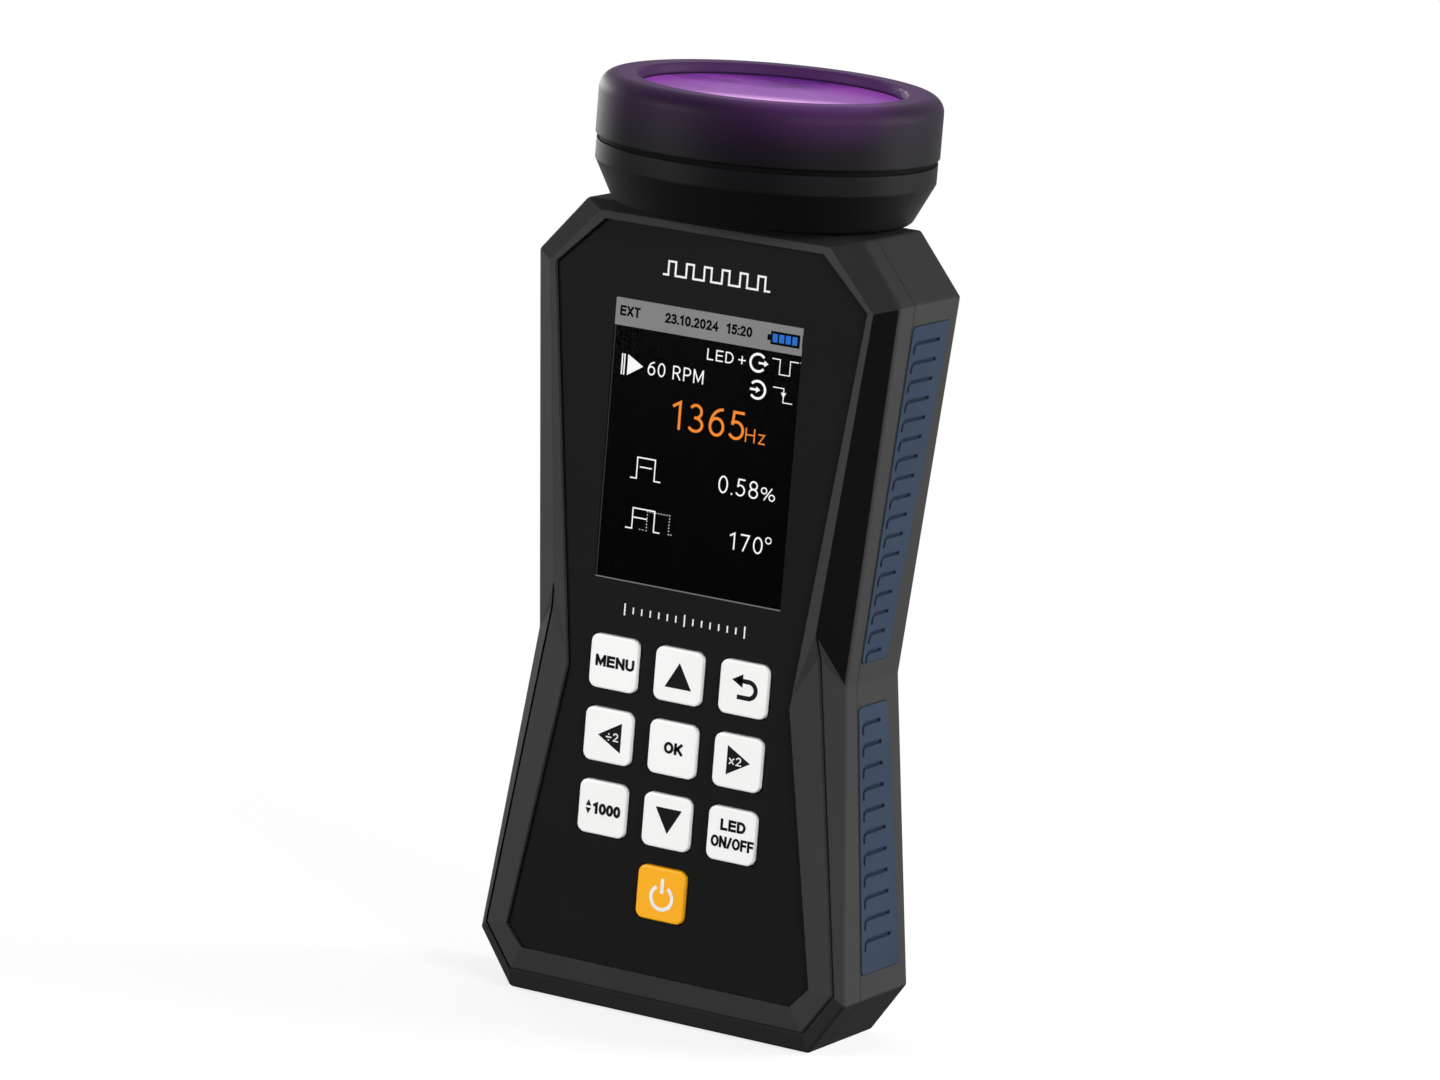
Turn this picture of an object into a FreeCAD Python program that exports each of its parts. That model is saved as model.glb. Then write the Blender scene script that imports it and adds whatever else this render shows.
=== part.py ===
import FreeCAD, Part
import math
import os

# Handheld stroboscope with an ultraviolet lamp head, standing upright on its bottom end.
# Millimetres. +Z up, -Y is the side with the keys, the lamp head's axis is the Z axis.
V = FreeCAD.Vector

# Housing outline seen from the front: half widths and heights of its corners
display_to_top = 18.8
top_half_width = 31.8
shoulder_half_width = 41.9
shoulder_drop = 12.0
waist_half_width = 36.1
waist_height = 75.8
hip_half_width = 43.1
hip_height = 11.3
foot_half_width = 35.4

# Housing depth: the front crest, the joint between the shells, and the back
front_y = -19.3
parting_y = -10.2
back_y = 12.7
seam_gap = 0.2
wall = 2.2

# Crest of the frame round the face plate, where the front bevels start: how far in and down
# from the outline's corner each of its corners lies
crest_top_inset = (5.3, 1.6)
crest_shoulder_inset = (4.5, 1.5)
crest_tip_inset = (5.5, -10.6)
crest_end_inset = (9.8, 2.8)
crest_hip_inset = (2.2, -2.1)
crest_foot_inset = (0.8, -4.4)
hip_fall = 0.8
front_bevel_depth = 3.2
front_edge_radius = 1.2
crest_groove_width = 0.6
crest_groove_depth = 0.4

# Corners of the flat back, where the rear bevels start
back_top_inset = (3.8, 4.4)
back_shoulder_inset = (4.9, 2.8)
back_waist_inset = (6.5, 0.0)
back_hip_inset = (4.2, -2.3)
back_foot_inset = (2.4, -3.6)
rear_bevel_depth = 3.9

# Corners of the face plate, sunk in the front, with its windows for the display and the keys
plate_top_inset = (6.6, 3.3)
plate_shoulder_inset = (5.9, 1.6)
plate_waist_inset = (10.1, 5.4)
plate_hip_inset = (7.4, -2.8)
plate_foot_inset = (3.7, -9.7)
plate_sink = 0.8
plate_thickness = 0.8
plate_gap = 0.1
front_wall = 2.2

# Display: a 2.8 inch panel behind a clear window
display_width = 43.2
display_height = 57.6
key_to_display = 11.5
panel_side_rim = 3.4
panel_end_rim = 5.8
panel_thickness = 1.6
backlight_thickness = 1.1
panel_gap = 0.2
window_gap = 0.1

# Keys: three columns, three rows and one key below
key_size = 11.2
key_pitch = 15.2
key_corner = 1.8
key_proud = 0.8
key_edge = 0.4
key_row_z = 57.3
key_travel = 0.6
key_gap = 0.2
key_rest_gap = 0.05
key_flange_space = 1.8
key_flange_thickness = 0.85

# Switches under the keys, and the main board that carries them
switch_size = 6.2
switch_body = 2.0
switch_button = 0.8
switch_button_radius = 1.7
switch_clearance = 0.05
board_thickness = 1.6
board_edge = 3.0
board_foot_gap = 1.8
board_top_edge = 3.0

# Screws of the housing and the board
case_screw_drop = 20.0
case_screw_foot_z = 18.0
case_boss_gap_top = 0.8
case_boss_gap_foot = 2.8
case_boss_radius = 3.2
case_screw_radius = 1.4
case_screw_head_radius = 2.7
case_screw_head_height = 1.8
case_screw_sink = 1.0
screw_clearance = 0.1
pilot_clearance = 0.05
screw_tip_gap = 0.6
board_screw_top_x = 20.0
board_screw_top_drop = 10.4
board_screw_under_panel = 4.8
board_screw_foot_z = 14.0
board_boss_gap = 0.7
board_boss_radius = 2.4
board_screw_radius = 1.0
board_screw_head_radius = 1.9
board_screw_head_height = 1.3

# Screw heads: the cross recess and the rounded edge as shares of the head
recess_arm_share = 0.55
recess_blade_share = 0.17
recess_depth_share = 0.6
head_round_share = 0.35

# Soft grips set in the sides
grip_thickness = 1.4
grip_proud = 0.2
grip_gap = 0.1
grip_front_inset = 0.3
grip_corner = 1.0
upper_grip_margins = (4.2, 4.4)
upper_grip_rear_y = (0.9, 5.9)
lower_grip_margins = (5.1, 4.8)
lower_grip_rear_y = (6.4, 2.4)
rib_pitch_upper = 4.0
rib_pitch_lower = 4.45
rib_last_rise_upper = 2.1
rib_last_rise_lower = 6.0
rib_width = 0.7
rib_depth = 0.5
rib_hook = 2.1
rib_bend_radius = 1.1
rib_front_margin = 1.6
rib_rear_margin = 3.4
rib_first_drop = 3.6
grip_peg_radius = 1.25
grip_peg_length = 1.2
grip_peg_shares = (0.2, 0.8)

# Battery and its cover in the back
battery_size = (46.0, 15.0, 70.0)
battery_foot_z = 27.0
battery_gap = 0.5
battery_round = 3.0
bay_wall = 1.2
contact_space = 1.6
contact_pitch = 9.0
contact_width = 3.0
contact_depth = 6.0
cover_side_rim = 3.0
cover_end_rim = 12.0
cover_thickness = 2.0
cover_gap = 0.2
cover_corner = 4.0
ledge_width = 2.4
ledge_thickness = 1.5
cover_screw_inset = 5.0
cover_screw_radius = 1.2
cover_screw_head_radius = 2.4
cover_screw_sink = 1.2
cover_screw_length = 7.0
cover_boss_radius = 2.6
cover_groove_field = 10.0
cover_groove_drop = 12.0
cover_groove_pitch = 2.4
cover_groove_width = 1.1
cover_groove_depth = 0.7
cover_groove_half_width = 9.0

# Tripod bush in the back
tripod_drop = 34.0
tripod_thread_radius = 3.175
tripod_bush_radius = 4.6
tripod_bush_length = 9.0
tripod_boss_wall = 2.2
tripod_bush_gap = 0.05
tripod_floor = 1.5

# Sockets in the bottom end
jack_x = 14.0
jack_bore_radius = 1.8
jack_barrel_radius = 3.0
jack_bore_length = 11.6
jack_body = (6.6, 5.8, 12.0)
jack_sink = 0.3
jack_hole_gap = 0.15
usb_size = (9.0, 3.2, 7.4)
usb_shell = 0.3
usb_corner = 1.4
usb_tongue = (6.7, 0.7, 5.0)

# Neck that carries the lamp head
neck_half_width = 22.0
neck_radius = 8.5
neck_centre_y = -3.2
neck_gap = 0.15
neck_flange_rim = 2.0
neck_flange_thickness = 2.6
neck_slot_half_width = 13.0
neck_slot_radius = 5.5
head_gap = 0.5
neck_seal_rim = 2.0
neck_screw_x = 17.6
neck_screw_y = 4.0
neck_screw_radius = 1.4

# Lamp head: cup below, ring above, both round the Z axis
cup_radius = 34.6
cup_cone_inset = 4.2
cup_cone_height = 8.3
cup_height = 12.3
cup_wall = 2.5
cup_foot_round = 1.3
groove_height = 1.2
groove_depth = 1.2
spigot_height = 2.7
spigot_wall = 2.2
ring_overhang = 0.3
ring_height = 12.4
ring_round = 3.4
ring_wall = 4.7
lip_width = 3.2
rim_flare = 0.5
rim_round = 0.7
throat_depth = 1.9
fit_gap = 0.1

# Light engine inside the head
lens_thickness = 3.0
lens_edge_gap = 0.3
gasket_thickness = 0.4
reflector_height = 9.8
reflector_rim = 0.9
reflector_slope = 4.4
led_board_thickness = 1.6
led_board_inset = 0.1
heat_sink_plate = 3.0
heat_sink_gap = 0.3
fin_pitch = 4.0
fin_thickness = 1.6
led_size = 3.5
led_body = 1.2
led_dome_radius = 1.3
led_edge = 3.6
led_ring_step = 4.3
led_spacing = 6.4
led_screw_radius = 1.0
led_screw_length = 4.0
led_screw_angles = (45.0, 135.0, 225.0, 315.0)

# Lamp driver board in the neck
driver_side_gap = 1.0
driver_length = 24.9
driver_board_y = -4.0
driver_top_gap = 0.6
link_size = (16.0, 6.0)
link_rise = 3.0
pin_radius = 0.6
pin_clearance = 0.5
pin_x = 5.0
pin_overlap = 8.0
driver_part_x = 6.5
driver_part_rise = 9.0
driver_part_radius = 4.0
driver_part_length = 6.0
driver_chip_size = 4.0

# Lip of the front shell inside the rear shell, and the frame that carries the display
tongue_reach = 1.4
tongue_thickness = 0.7
frame_rim = 1.4
frame_window_rim = 4.2
frame_web = 1.0

# Chips on the board: place across, height, width, length
chip_height = 1.4
CHIPS = [
    (0.0, 128.0, 12.0, 12.0),
    (-17.0, 124.0, 7.0, 9.0),
    (17.0, 124.0, 7.0, 9.0),
    (-16.0, 108.0, 5.0, 4.0),
    (16.0, 108.0, 5.0, 4.0),
    (0.0, 60.0, 9.0, 9.0),
    (-18.0, 20.0, 4.0, 5.0),
    (18.0, 20.0, 4.0, 5.0),
]

# Heights that follow in the housing
display_foot_z = key_row_z + key_pitch + key_size / 2 + key_to_display
display_centre_z = display_foot_z + display_height / 2
body_height = display_foot_z + display_height + display_to_top
shoulder_height = body_height - shoulder_drop
power_key_z = key_row_z - 2 * key_pitch
panel_width = display_width + 2 * panel_side_rim
panel_height = display_height + 2 * panel_end_rim
board_foot_z = wall + board_foot_gap
board_screw_top_z = body_height - board_screw_top_drop
board_screw_middle_z = display_centre_z - panel_height / 2 - board_screw_under_panel
board_top_z = board_screw_top_z + board_top_edge
case_screw_top_z = body_height - case_screw_drop
tripod_z = body_height - tripod_drop
battery_top_z = battery_foot_z + battery_size[2]
cover_foot_z = battery_foot_z - cover_end_rim
cover_top_z = battery_top_z + cover_end_rim
upper_grip_span = (waist_height + upper_grip_margins[0], shoulder_height - upper_grip_margins[1])
lower_grip_span = (hip_height + lower_grip_margins[0], waist_height - lower_grip_margins[1])

# Places across that follow
key_flange_rim = (key_pitch - key_size - key_flange_space) / 2
board_screw_x = key_pitch + key_size / 2 + key_flange_rim + board_boss_gap + board_boss_radius
board_half_width = board_screw_x + board_edge
case_screw_top_x = board_half_width + case_boss_gap_top + case_boss_radius
case_screw_foot_x = board_half_width + case_boss_gap_foot + case_boss_radius
cover_half_width = battery_size[0] / 2 + cover_side_rim
driver_half_width = neck_slot_half_width - driver_side_gap

# Radii that follow in the lamp head
cup_foot_radius = cup_radius - cup_cone_inset
spigot_radius = cup_radius - groove_depth
ring_radius = cup_radius + ring_overhang
ring_bore_radius = ring_radius - ring_wall
throat_radius = ring_bore_radius - lip_width
rim_radius = throat_radius + rim_flare
lens_radius = ring_bore_radius - lens_edge_gap
reflector_mouth_radius = lens_radius - reflector_rim
reflector_foot_radius = reflector_mouth_radius - reflector_slope
led_board_radius = lens_radius - led_board_inset
heat_sink_radius = cup_foot_radius - cup_wall - heat_sink_gap
led_outer_ring_radius = reflector_foot_radius - led_edge
led_screw_circle = led_outer_ring_radius - led_ring_step
led_middle_ring_radius = led_screw_circle - led_ring_step

# Heights that follow in the lamp head
head_foot_z = body_height + head_gap
cup_top_z = head_foot_z + cup_height
ring_foot_z = cup_top_z + groove_height
ring_top_z = ring_foot_z + ring_height
throat_z = ring_top_z - throat_depth
lens_top_z = throat_z - gasket_thickness
lens_foot_z = lens_top_z - lens_thickness
cup_floor_z = head_foot_z + cup_wall
led_board_top_z = lens_foot_z - reflector_height
led_board_foot_z = led_board_top_z - led_board_thickness

# Depths that follow
grip_front_y = parting_y + seam_gap / 2 + grip_front_inset
plate_front_y = front_y + plate_sink
plate_back_y = plate_front_y + plate_thickness
cavity_front_y = plate_back_y + front_wall
cavity_back_y = back_y - wall
backlight_front_y = plate_back_y + panel_thickness
frame_front_y = backlight_front_y + backlight_thickness
key_front_y = plate_front_y - key_proud
flange_front_y = cavity_front_y + key_rest_gap
flange_back_y = flange_front_y + key_flange_thickness
switch_front_y = flange_back_y + key_travel + switch_clearance
board_front_y = switch_front_y + switch_button + switch_body
board_back_y = board_front_y + board_thickness
bay_back_y = cavity_back_y - battery_gap
bay_front_y = bay_back_y - battery_size[1]
jack_y = board_back_y + jack_body[1] / 2
driver_back_y = driver_board_y + board_thickness
pin_y = driver_back_y + pin_radius
neck_flange_top_z = body_height - wall
neck_flange_foot_z = neck_flange_top_z - neck_flange_thickness
driver_top_z = head_foot_z - driver_top_gap
driver_foot_z = driver_top_z - driver_length
driver_part_z = driver_foot_z + driver_part_rise
link_foot_z = driver_foot_z + link_rise

# Size of a block that fills the space beyond a plane, how far a cut runs past a face,
# and how closely an edge has to match the place or direction it is looked for at
REACH = 400.0
OVERRUN = 1.0
MATCH = 1e-6


def box(x0, x1, y0, y1, z0, z1):
    """Block between two corners."""
    return Part.makeBox(x1 - x0, y1 - y0, z1 - z0, V(x0, y0, z0))


def rod_y(x, z, radius, y0, y1):
    """Cylinder along Y."""
    return Part.makeCylinder(radius, y1 - y0, V(x, y0, z), V(0, 1, 0))


def rod_z(x, y, radius, z0, z1):
    """Cylinder along Z."""
    return Part.makeCylinder(radius, z1 - z0, V(x, y, z0), V(0, 0, 1))


def mirrored(shape):
    """The same shape on the other side of the middle plane."""
    return shape.mirror(V(0, 0, 0), V(1, 0, 0))


def both_sides(shape):
    """A shape and its mirror image."""
    return [shape, mirrored(shape)]


def at(corner, y):
    """Corner of a front outline, placed at a depth."""
    return V(corner[0], y, corner[1])


def depth_on_plane(a, b, c, corner):
    """Depth where the plane through three points passes a corner of the outline."""
    normal = (b - a).cross(c - a)
    return a.y - (normal.x * (corner[0] - a.x) + normal.z * (corner[1] - a.z)) / normal.y


def polygon_face(corners, y, grow=0.0):
    """Flat face at depth y from the right half of a symmetric outline, top to bottom."""
    points = [at(c, y) for c in corners]
    points += [V(-p.x, p.y, p.z) for p in reversed(points)]
    wire = Part.makePolygon(points + [points[0]])
    if grow:
        wire = wire.makeOffset2D(grow, join=2)
    return Part.Face(wire)


def polygon_prism(corners, y0, y1, grow=0.0):
    """Symmetric outline, pushed from one depth to another."""
    return polygon_face(corners, y0, grow).extrude(V(0, y1 - y0, 0))


def rounded_prism(half_width, z0, z1, y0, y1, corner):
    """Block with rounded corners seen from the front."""
    block = box(-half_width, half_width, y0, y1, z0, z1)
    return block.makeFillet(corner, edges_along(block, V(0, 1, 0)))


def edges_along(shape, direction):
    """Straight edges that run along a direction."""
    lines = [e for e in shape.Edges if e.Curve.TypeId == "Part::GeomLine"]
    return [e for e in lines if abs(abs(e.Curve.Direction * direction) - 1) < MATCH]


def edges_at_depth(shape, y):
    """Edges that lie wholly at one depth."""
    boxes = [(e, e.BoundBox) for e in shape.Edges]
    return [e for e, b in boxes if abs(b.YMin - y) < MATCH and abs(b.YMax - y) < MATCH]


def oblong(half_width, radius, centre_y, z0, z1):
    """Upright block with two round ends, long in X."""
    straight = half_width - radius
    middle = box(-straight, straight, centre_y - radius, centre_y + radius, z0, z1)
    ends = [rod_z(side * straight, centre_y, radius, z0, z1) for side in (-1, 1)]
    return middle.fuse(ends).removeSplitter()


def turned(points):
    """Solid of revolution round the Z axis from a closed profile of (radius, z) points."""
    wire = Part.makePolygon([V(r, 0, z) for r, z in points + points[:1]])
    return Part.Face(wire).revolve(V(0, 0, 0), V(0, 0, 1), 360)


def circle_edges(shape, radius, z):
    """Full circles of a turned solid, found by radius and height."""
    found = []
    for edge in shape.Edges:
        if edge.Curve.TypeId == "Part::GeomCircle":
            if abs(edge.Curve.Radius - radius) < MATCH and abs(edge.Curve.Center.z - z) < MATCH:
                found.append(edge)
    return found


def cross_recess(radius, depth):
    """Cross for a screw head, centred on the Z axis with its mouth at z = 0."""
    arm = radius * recess_arm_share
    blade = radius * recess_blade_share
    first = box(-arm, arm, -blade, blade, -depth, OVERRUN)
    second = box(-blade, blade, -arm, arm, -depth, OVERRUN)
    return first.fuse(second)


def screw(radius, length, head_radius, head_height):
    """Pan head screw along Z: the head's seat is at z = 0, the shank goes down."""
    head = Part.makeCylinder(head_radius, head_height)
    head = head.makeFillet(head_height * head_round_share, circle_edges(head, head_radius, head_height))
    shank = Part.makeCylinder(radius, length, V(0, 0, -length))
    recess = cross_recess(head_radius, head_height * recess_depth_share)
    recess.translate(V(0, 0, head_height))
    return head.fuse(shank).cut(recess)


def placed(shape, position, direction):
    """Copy of a shape made along Z, turned to a direction and moved."""
    copy = shape.copy()
    copy.Placement = FreeCAD.Placement(position, FreeCAD.Rotation(V(0, 0, 1), direction))
    return copy


def outside_block(points, inset):
    """Block on the outer side of a plane through three points, moved in by an inset."""
    a, b, c = points
    normal = (b - a).cross(c - a).normalize()
    inner = V(0, (front_y + back_y) / 2, waist_height)
    if normal.dot(a - inner) < 0:
        normal = normal * -1
    block = Part.makeBox(REACH, REACH, REACH, V(-REACH / 2, -REACH / 2, 0))
    return placed(block, a - normal * inset, normal)


def flat_side(start, end):
    """Plane of a side wall between two outline corners."""
    return [at(start, 0), at(end, 0), at(end, 1)]


def inside(corner, inset):
    """Point that lies in and down from an outline's corner."""
    return (corner[0] - inset[0], corner[1] - inset[1])


TOP = (top_half_width, body_height)
SHOULDER = (shoulder_half_width, shoulder_height)
WAIST = (waist_half_width, waist_height)
HIP = (hip_half_width, hip_height)
FOOT = (foot_half_width, 0.0)
OUTLINE = [TOP, SHOULDER, WAIST, HIP, FOOT]

crest_top = inside(TOP, crest_top_inset)
crest_shoulder = inside(SHOULDER, crest_shoulder_inset)
crest_tip = inside(WAIST, crest_tip_inset)
crest_end = inside(WAIST, crest_end_inset)
crest_hip = inside(HIP, crest_hip_inset)
crest_foot = inside(FOOT, crest_foot_inset)

back_top = inside(TOP, back_top_inset)
back_shoulder = inside(SHOULDER, back_shoulder_inset)
back_waist = inside(WAIST, back_waist_inset)
back_hip = inside(HIP, back_hip_inset)
back_foot = inside(FOOT, back_foot_inset)

plate_top = inside(TOP, plate_top_inset)
plate_shoulder = inside(SHOULDER, plate_shoulder_inset)
plate_waist = inside(WAIST, plate_waist_inset)
plate_hip = inside(HIP, plate_hip_inset)
plate_foot = inside(FOOT, plate_foot_inset)
PLATE = [plate_top, plate_shoulder, plate_waist, plate_hip, plate_foot]


def bevel_planes(top, shoulder, tip, waist, hip, foot, shoulder_y):
    """Bevels from a crest out to the side walls: each takes over where the last one ended."""
    across = V(1, 0, 0)
    band_shoulder = at(SHOULDER, shoulder_y)
    shoulder_plane = [top, shoulder, band_shoulder]
    band_top = at(TOP, depth_on_plane(*shoulder_plane, TOP))
    upper_plane = [shoulder, tip, band_shoulder]
    band_waist = at(WAIST, depth_on_plane(*upper_plane, WAIST))
    lower_plane = [waist, hip, band_waist]
    band_hip = at(HIP, depth_on_plane(*lower_plane, HIP))
    hip_plane = [hip, foot, band_hip]
    band_foot = at(FOOT, depth_on_plane(*hip_plane, FOOT))
    shared = [[top, top + across, band_top], shoulder_plane, hip_plane, [foot, foot + across, band_foot]]
    return shared, upper_plane, lower_plane, band_waist


def convex_form(planes, inset, y0, y1, z0):
    """Block cut by planes and by their mirror images."""
    half = hip_half_width + OVERRUN
    block = box(-half, half, y0, y1, z0, body_height - inset)
    for plane in planes:
        for points in (plane, [V(-p.x, p.y, p.z) for p in plane]):
            block = block.cut(outside_block(points, inset))
    return block


def body_form(inset, y0, y1):
    """Outer form of the whole housing, or the same form shrunk by an inset."""
    fall_plane = [at(plate_waist, front_y), at(plate_hip, front_y), at(crest_hip, front_y + hip_fall)]
    corner_plane = [at(plate_hip, front_y), at(plate_foot, front_y), at(crest_hip, front_y + hip_fall)]
    foot_y = depth_on_plane(*corner_plane, crest_foot)
    tip_y = depth_on_plane(*fall_plane, crest_tip)
    shoulder_y = front_y + front_bevel_depth
    front, front_upper, front_lower, band_waist = bevel_planes(
        at(crest_top, front_y), at(crest_shoulder, front_y), at(crest_tip, front_y), at(crest_tip, tip_y),
        at(crest_hip, front_y + hip_fall), at(crest_foot, foot_y), shoulder_y)
    waist_back = at(back_waist, back_y)
    rear, rear_upper, rear_lower = bevel_planes(
        at(back_top, back_y), at(back_shoulder, back_y), waist_back, waist_back,
        at(back_hip, back_y), at(back_foot, back_y), back_y - rear_bevel_depth)[:3]
    ends = front + rear + [flat_side(TOP, SHOULDER), flat_side(HIP, FOOT)]
    foot_plane = [at(plate_foot, front_y), at(plate_foot, front_y) + V(1, 0, 0), at(crest_foot, foot_y)]
    crest_stop = [at(crest_tip, front_y), band_waist, at(crest_end, front_y)]
    upper = ends + [flat_side(SHOULDER, WAIST), front_upper, rear_upper, crest_stop]
    lower = ends + [flat_side(WAIST, HIP), front_lower, rear_lower]
    lower += [fall_plane, corner_plane, foot_plane]
    overlap_z = (plate_hip[1] + plate_waist[1]) / 2
    upper_form = convex_form(upper, inset, y0, y1, overlap_z)
    lower_form = convex_form(lower, inset, y0, y1, inset)
    return upper_form.fuse(lower_form).removeSplitter().Solids[0]


def distance_to_outline(x, z):
    """How far a point seen from the front lies from the housing's outline."""
    corners = [V(-top_half_width, 0, body_height)] + [at(c, 0) for c in OUTLINE] + [V(-foot_half_width, 0, 0)]
    point = V(abs(x), 0, z)
    return min(point.distanceToLineSegment(a, b).Length for a, b in zip(corners, corners[1:]))


def band_edges(shape):
    """Edges where the front bevels meet the side walls, and the corners of the side walls."""
    found = edges_along(shape, V(0, 1, 0))
    for edge in shape.Edges:
        points = [v.Point for v in edge.Vertexes]
        if all(p.y < parting_y and distance_to_outline(p.x, p.z) < MATCH for p in points):
            found.append(edge)
    return found


def case_screw_places():
    """Front view places of the four housing screws."""
    places = ((case_screw_top_x, case_screw_top_z), (case_screw_foot_x, case_screw_foot_z))
    return [(side * x, z) for x, z in places for side in (-1, 1)]


def board_screw_places():
    """Front view places of the six board screws."""
    places = (
        (board_screw_top_x, board_screw_top_z),
        (board_screw_x, board_screw_middle_z),
        (board_screw_x, board_screw_foot_z),
    )
    return [(side * x, z) for x, z in places for side in (-1, 1)]


def key_places():
    """Name and front view place of each key."""
    names = [
        ["key_mode", "key_up", "key_back"],
        ["key_halve", "key_set", "key_double"],
        ["key_step", "key_down", "key_lamp"],
    ]
    places = {}
    for row, row_names in enumerate(names):
        for column, name in enumerate(row_names):
            places[name] = ((column - 1) * key_pitch, key_row_z + (1 - row) * key_pitch)
    places["key_power"] = (0.0, power_key_z)
    return places


def key_block(x, z, size, corner, y0, y1):
    """Square block with rounded corners, centred on a key's place."""
    block = rounded_prism(size / 2, -size / 2, size / 2, y0, y1, corner)
    block.translate(V(x, 0, z))
    return block


def neck_form(grow, z0, z1):
    """Oblong form of the neck, grown by a margin."""
    return oblong(neck_half_width + grow, neck_radius + grow, neck_centre_y, z0, z1)


def side_frame(low, high):
    """Placement on a right side wall: X points out, Y back, Z up along the wall from its lower corner."""
    lean = math.degrees(math.atan2(high[0] - low[0], high[1] - low[1]))
    return FreeCAD.Placement(at(low, 0), FreeCAD.Rotation(V(0, 1, 0), lean))


def heights_along(low, high, span):
    """Distances up a side wall that belong to heights in the part."""
    climb = (at(high, 0) - at(low, 0)).Length / (high[1] - low[1])
    return [(z - low[1]) * climb for z in span]


def grip_form(low, high, span, rear_y, grow, out):
    """Tapered slab on a right side wall, from below the surface to a height above it."""
    z0, z1 = heights_along(low, high, span)
    front = grip_front_y
    corners = [
        V(-grip_thickness, front - grow, z0 - grow),
        V(-grip_thickness, rear_y[0] + grow, z0 - grow),
        V(-grip_thickness, rear_y[1] + grow, z1 + grow),
        V(-grip_thickness, front - grow, z1 + grow),
    ]
    slab = Part.Face(Part.makePolygon(corners + corners[:1])).extrude(V(grip_thickness + out, 0, 0))
    slab = slab.makeFillet(grip_corner, edges_along(slab, V(1, 0, 0)))
    slab.Placement = side_frame(low, high).multiply(slab.Placement)
    return slab


def rib_groove(front, rear, z):
    """Groove in a grip, in the grip's own frame: straight back from a rounded hook at the front."""
    half = rib_width / 2
    depth0 = grip_proud - rib_depth
    depth1 = grip_proud + OVERRUN
    bend = rib_bend_radius
    centre = V(depth0, front + bend, z - bend)
    straight = box(depth0, depth1, front + bend, rear, z - half, z + half)
    hook = box(depth0, depth1, front - half, front + half, z - rib_hook, z - bend)
    ring = Part.makeCylinder(bend + half, depth1 - depth0, centre, V(1, 0, 0))
    ring = ring.cut(Part.makeCylinder(bend - half, depth1 - depth0, centre, V(1, 0, 0)))
    corner = box(depth0, depth1, front - half, front + bend, z - bend, z + half)
    return straight.fuse([hook, ring.common(corner)])


def grip(low, high, span, rear_y, pitch, last_rise):
    """Soft grip of the right side, with its hooked grooves and two pegs into the shell."""
    frame = side_frame(low, high)
    z0, z1 = heights_along(low, high, span)
    grooves = []
    field = z1 - z0 - rib_first_drop - last_rise
    for index in range(int(field / pitch) + 1):
        z = z1 - rib_first_drop - index * pitch
        rear = rear_y[0] + (rear_y[1] - rear_y[0]) * (z - z0) / (z1 - z0)
        grooves.append(rib_groove(grip_front_y + rib_front_margin, rear - rib_rear_margin, z))
    slab = grip_form(low, high, span, rear_y, 0.0, grip_proud)
    for groove in grooves:
        groove.Placement = frame.multiply(groove.Placement)
    slab = slab.cut(Part.makeCompound(grooves))
    for peg in grip_pegs(low, high, span, rear_y, 0.0):
        slab = slab.fuse(peg)
    return slab.removeSplitter()


def grip_pegs(low, high, span, rear_y, grow):
    """Pegs on the inner face of a grip, or with a margin the holes that they enter."""
    frame = side_frame(low, high)
    z0, z1 = heights_along(low, high, span)
    y = (grip_front_y + min(rear_y)) / 2
    pegs = []
    for share in grip_peg_shares:
        z = z0 + (z1 - z0) * share
        start = V(-grip_thickness - grip_peg_length, y, z)
        peg = Part.makeCylinder(grip_peg_radius + grow, grip_peg_length, start, V(1, 0, 0))
        peg.Placement = frame.multiply(peg.Placement)
        pegs.append(peg)
    return pegs


UPPER_GRIP = (WAIST, SHOULDER, upper_grip_span, upper_grip_rear_y)
LOWER_GRIP = (HIP, WAIST, lower_grip_span, lower_grip_rear_y)


def grips():
    """The four grips: upper and lower, right and left."""
    upper = grip(*UPPER_GRIP, rib_pitch_upper, rib_last_rise_upper)
    lower = grip(*LOWER_GRIP, rib_pitch_lower, rib_last_rise_lower)
    return {
        "grip_upper_right": upper,
        "grip_upper_left": mirrored(upper),
        "grip_lower_right": lower,
        "grip_lower_left": mirrored(lower),
    }


def shells():
    """Front and rear shells of the housing, each an open tray with its bosses and openings."""
    form = body_form(0.0, front_y, back_y)
    form = form.makeFillet(front_edge_radius, band_edges(form))
    cavity = body_form(wall, cavity_front_y, cavity_back_y)
    half = hip_half_width + OVERRUN
    top = body_height + OVERRUN
    front_zone = box(-half, half, front_y - OVERRUN, parting_y - seam_gap / 2, -OVERRUN, top)
    rear_zone = box(-half, half, parting_y + seam_gap / 2, back_y + OVERRUN, -OVERRUN, top)
    tray = form.cut(cavity)
    front = tray.common(front_zone).fuse([seam_tongue(0.0)] + front_bosses())
    front = front.cut(front_openings() + shared_openings() + [crest_groove()])
    rear = tray.common(rear_zone).cut(seam_tongue(fit_gap)).fuse(rear_bosses(cavity))
    rear = rear.cut(rear_openings() + shared_openings())
    return {"front_shell": front.removeSplitter(), "rear_shell": rear.removeSplitter()}


def shared_openings():
    """Cuts that both shells take part in: the neck's hole in the top, the sockets' in the bottom."""
    cuts = [neck_form(neck_gap, neck_flange_top_z - OVERRUN, body_height + OVERRUN)]
    hole = jack_barrel_radius + jack_hole_gap
    for side in (-1, 1):
        cuts.append(rod_z(side * jack_x, jack_y, hole, -OVERRUN, wall + OVERRUN))
    cuts.append(usb_form(jack_hole_gap, -OVERRUN, wall + OVERRUN))
    return cuts


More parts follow.
